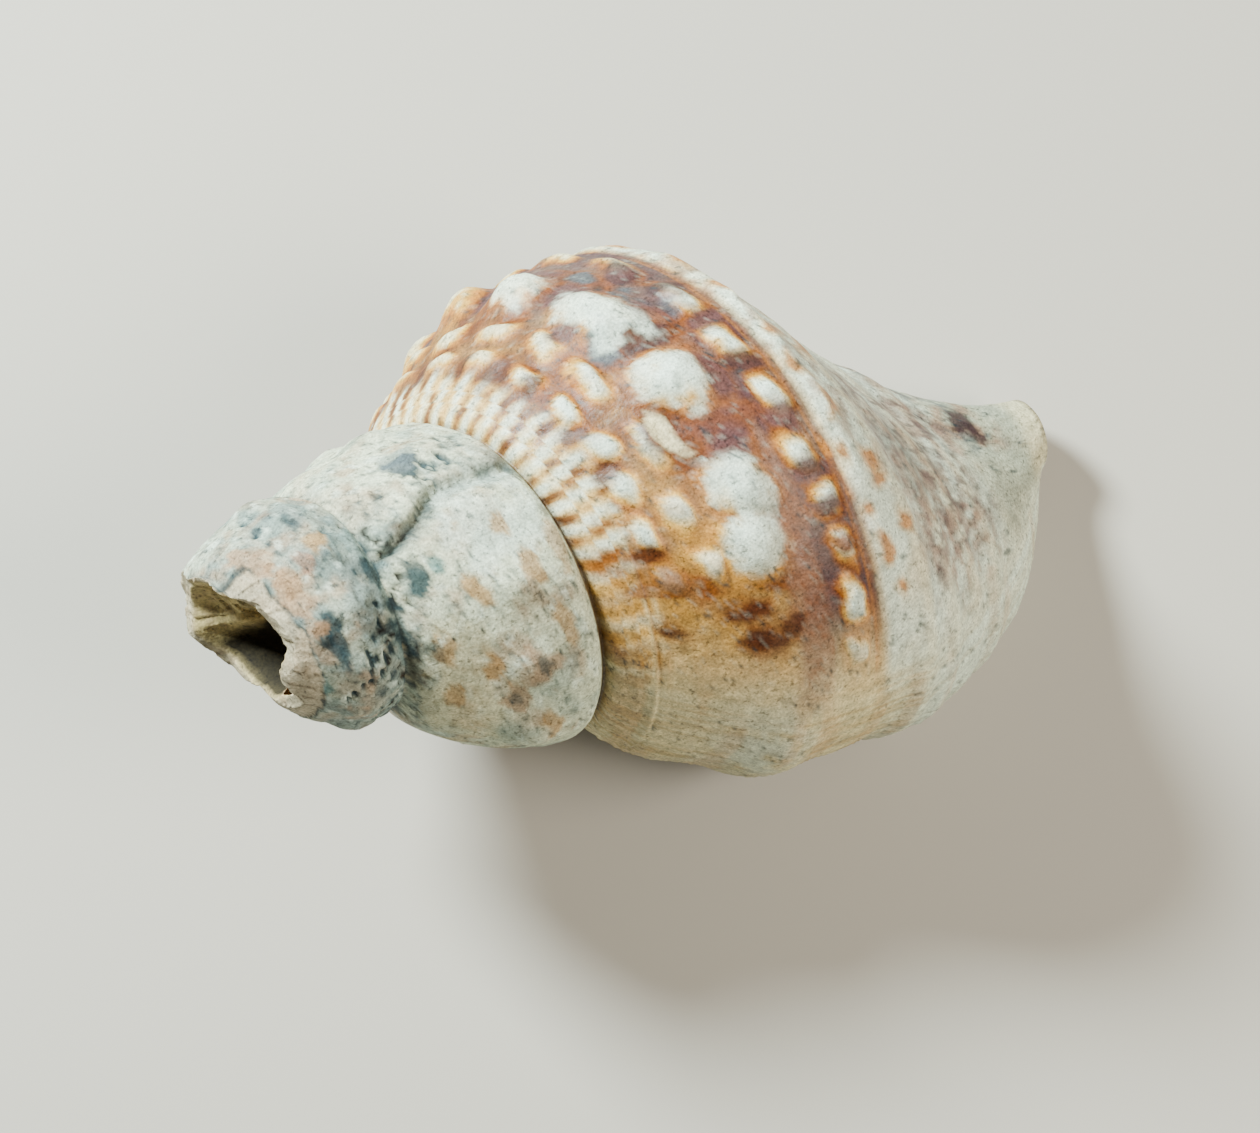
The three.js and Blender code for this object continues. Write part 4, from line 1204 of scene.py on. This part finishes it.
def keep_largest(piece):
    """Removes crumbs that the break leaves loose."""
    mesh = piece.data
    count = len(mesh.vertices)
    edges = np.empty(len(mesh.edges) * 2, np.int32)
    mesh.edges.foreach_get("vertices", edges)
    edges = edges.reshape(-1, 2)
    label = np.arange(count)
    while True:
        low = np.minimum(label[edges[:, 0]], label[edges[:, 1]])
        before = label.copy()
        np.minimum.at(label, edges[:, 0], low)
        np.minimum.at(label, edges[:, 1], low)
        label = label[label]
        if (label == before).all():
            break
    names, sizes = np.unique(label, return_counts=True)
    main = names[sizes.argmax()]
    if len(names) == 1:
        return
    faces = np.array([list(f.vertices) for f in mesh.polygons], dtype=object)
    kept = np.flatnonzero(label == main)
    renumber = -np.ones(count, np.int64)
    renumber[kept] = np.arange(len(kept))
    kept_faces = [[int(renumber[v]) for v in face] for face in faces if label[face[0]] == main]
    new_mesh = bpy.data.meshes.new(mesh.name)
    new_mesh.from_pydata(points_of(mesh)[kept].tolist(), [], kept_faces)
    new_mesh.update()
    piece.data = new_mesh
    bpy.data.meshes.remove(mesh)


def node(tree, kind, at, **values):
    made = tree.nodes.new(kind)
    made.location = at
    for key, value in values.items():
        setattr(made, key, value)
    return made


def shell_material():
    material = bpy.data.materials.new("worn shell")
    material.use_nodes = True
    tree = material.node_tree
    shader = tree.nodes["Principled BSDF"]
    link = tree.links.new

    tint = node(tree, "ShaderNodeAttribute", (-1200, 300), attribute_name="tint")
    rough = node(tree, "ShaderNodeAttribute", (-1200, 0), attribute_name="roughness")
    where = node(tree, "ShaderNodeTexCoord", (-1600, 0))

    def texture(scale, detail, at):
        made = node(tree, "ShaderNodeTexNoise", at)
        made.inputs["Scale"].default_value = scale
        made.inputs["Detail"].default_value = detail
        link(where.outputs["Object"], made.inputs["Vector"])
        return made.outputs["Fac"]

    def grain(settings, y):
        made = node(tree, "ShaderNodeMapRange", (-900, y))
        link(texture(*settings[:2], (-1200, y)), made.inputs["Value"])
        for name, number in zip(("From Min", "From Max", "To Min", "To Max"), settings[2:]):
            made.inputs[name].default_value = number
        return made.outputs["Result"]

    def bump(settings, x):
        made = node(tree, "ShaderNodeBump", (x, -300))
        made.inputs["Strength"].default_value = settings[2]
        made.inputs["Distance"].default_value = settings[3]
        link(texture(*settings[:2], (x - 600, -500)), made.inputs["Height"])
        return made

    def mixed(blend, share, first, second, at):
        made = node(tree, "ShaderNodeMix", at, data_type="RGBA", blend_type=blend)
        if isinstance(share, float):
            made.inputs["Factor"].default_value = share
        else:
            link(share, made.inputs["Factor"])
        for socket, value in (("A", first), ("B", second)):
            target = [s for s in made.inputs if s.name == socket and s.type == "RGBA"][0]
            if isinstance(value, tuple):
                target.default_value = value
            else:
                link(value, target)
        return [s for s in made.outputs if s.type == "RGBA"][0]

    toned = mixed("MULTIPLY", 1.0, tint.outputs["Color"], grain(FINE_GRAIN, 700), (-600, 500))
    toned = mixed("MULTIPLY", 1.0, toned, grain(COARSE_GRAIN, 900), (-400, 500))
    toned = mixed("MULTIPLY", grain(DOTS, 1100), toned, DOT_TONE, (-200, 500))
    link(toned, shader.inputs["Base Color"])
    link(rough.outputs["Fac"], shader.inputs["Roughness"])

    fine = bump(FINE_BUMP, -300)
    broad = bump(BROAD_BUMP, -100)
    link(fine.outputs["Normal"], broad.inputs["Normal"])
    link(broad.outputs["Normal"], shader.inputs["Normal"])
    shader.inputs["Specular IOR Level"].default_value = SHINE
    return material


def plain_material(name, tone, rough):
    material = bpy.data.materials.new(name)
    material.use_nodes = True
    shader = material.node_tree.nodes["Principled BSDF"]
    shader.inputs["Base Color"].default_value = (*tone, 1)
    shader.inputs["Roughness"].default_value = rough
    return material


def make_floor():
    """A pale floor, only for the picture."""
    mesh = bpy.data.meshes.new("floor")
    corners = [(FLOOR_HALF * x, FLOOR_HALF * y, 0) for x, y in ((-1, -1), (1, -1), (1, 1), (-1, 1))]
    mesh.from_pydata(corners, [], [(0, 1, 2, 3)])
    floor = bpy.data.objects.new("floor", mesh)
    bpy.context.scene.collection.objects.link(floor)
    mesh.materials.append(plain_material("pale floor", tuple(colour(*FLOOR_TONE)), 0.9))
    return floor


def aim(thing, towards, up=(0, 0, 1)):
    """Turns an object so that it looks along a direction."""
    back = -Vector(towards).normalized()
    right = Vector(up).cross(back).normalized()
    above = back.cross(right)
    turn = Matrix((right, above, back)).transposed()
    thing.rotation_euler = turn.to_euler()


def area_light(name, at, size, power, tone):
    data = bpy.data.lights.new(name, "AREA")
    data.shape = "DISK"
    data.size = size
    data.energy = power
    data.color = tone
    lamp = bpy.data.objects.new(name, data)
    lamp.location = at
    aim(lamp, Vector(LIGHTS_AIM) - Vector(at), (0.1, 1, 0))
    bpy.context.scene.collection.objects.link(lamp)


def make_lights():
    area_light("window", *WINDOW)
    area_light("fill", *FILL)
    world = bpy.data.worlds.new("soft room")
    world.use_nodes = True
    background = world.node_tree.nodes["Background"]
    background.inputs["Color"].default_value = ROOM_TONE
    background.inputs["Strength"].default_value = ROOM_STRENGTH
    bpy.context.scene.world = world


def make_camera():
    data = bpy.data.cameras.new("camera")
    data.lens = CAMERA_LENS
    data.sensor_width = SENSOR
    data.clip_start = 0.01
    camera = bpy.data.objects.new("camera", data)
    camera.location = Vector(CAMERA_EYE) / 1000
    aim(camera, CAMERA_LOOK, CAMERA_UP)
    bpy.context.scene.collection.objects.link(camera)
    bpy.context.scene.camera = camera


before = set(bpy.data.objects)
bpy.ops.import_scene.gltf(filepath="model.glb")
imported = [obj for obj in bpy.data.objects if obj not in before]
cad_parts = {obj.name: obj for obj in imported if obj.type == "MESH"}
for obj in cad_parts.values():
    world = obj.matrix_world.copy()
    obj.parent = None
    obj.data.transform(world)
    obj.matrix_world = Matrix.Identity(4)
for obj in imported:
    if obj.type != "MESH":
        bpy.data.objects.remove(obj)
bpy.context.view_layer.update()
shell = build_shell()
shell.data.materials.clear()
shell.data.materials.append(shell_material())
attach(shell, "root")
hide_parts("triton_shell")
make_floor()
make_lights()
make_camera()
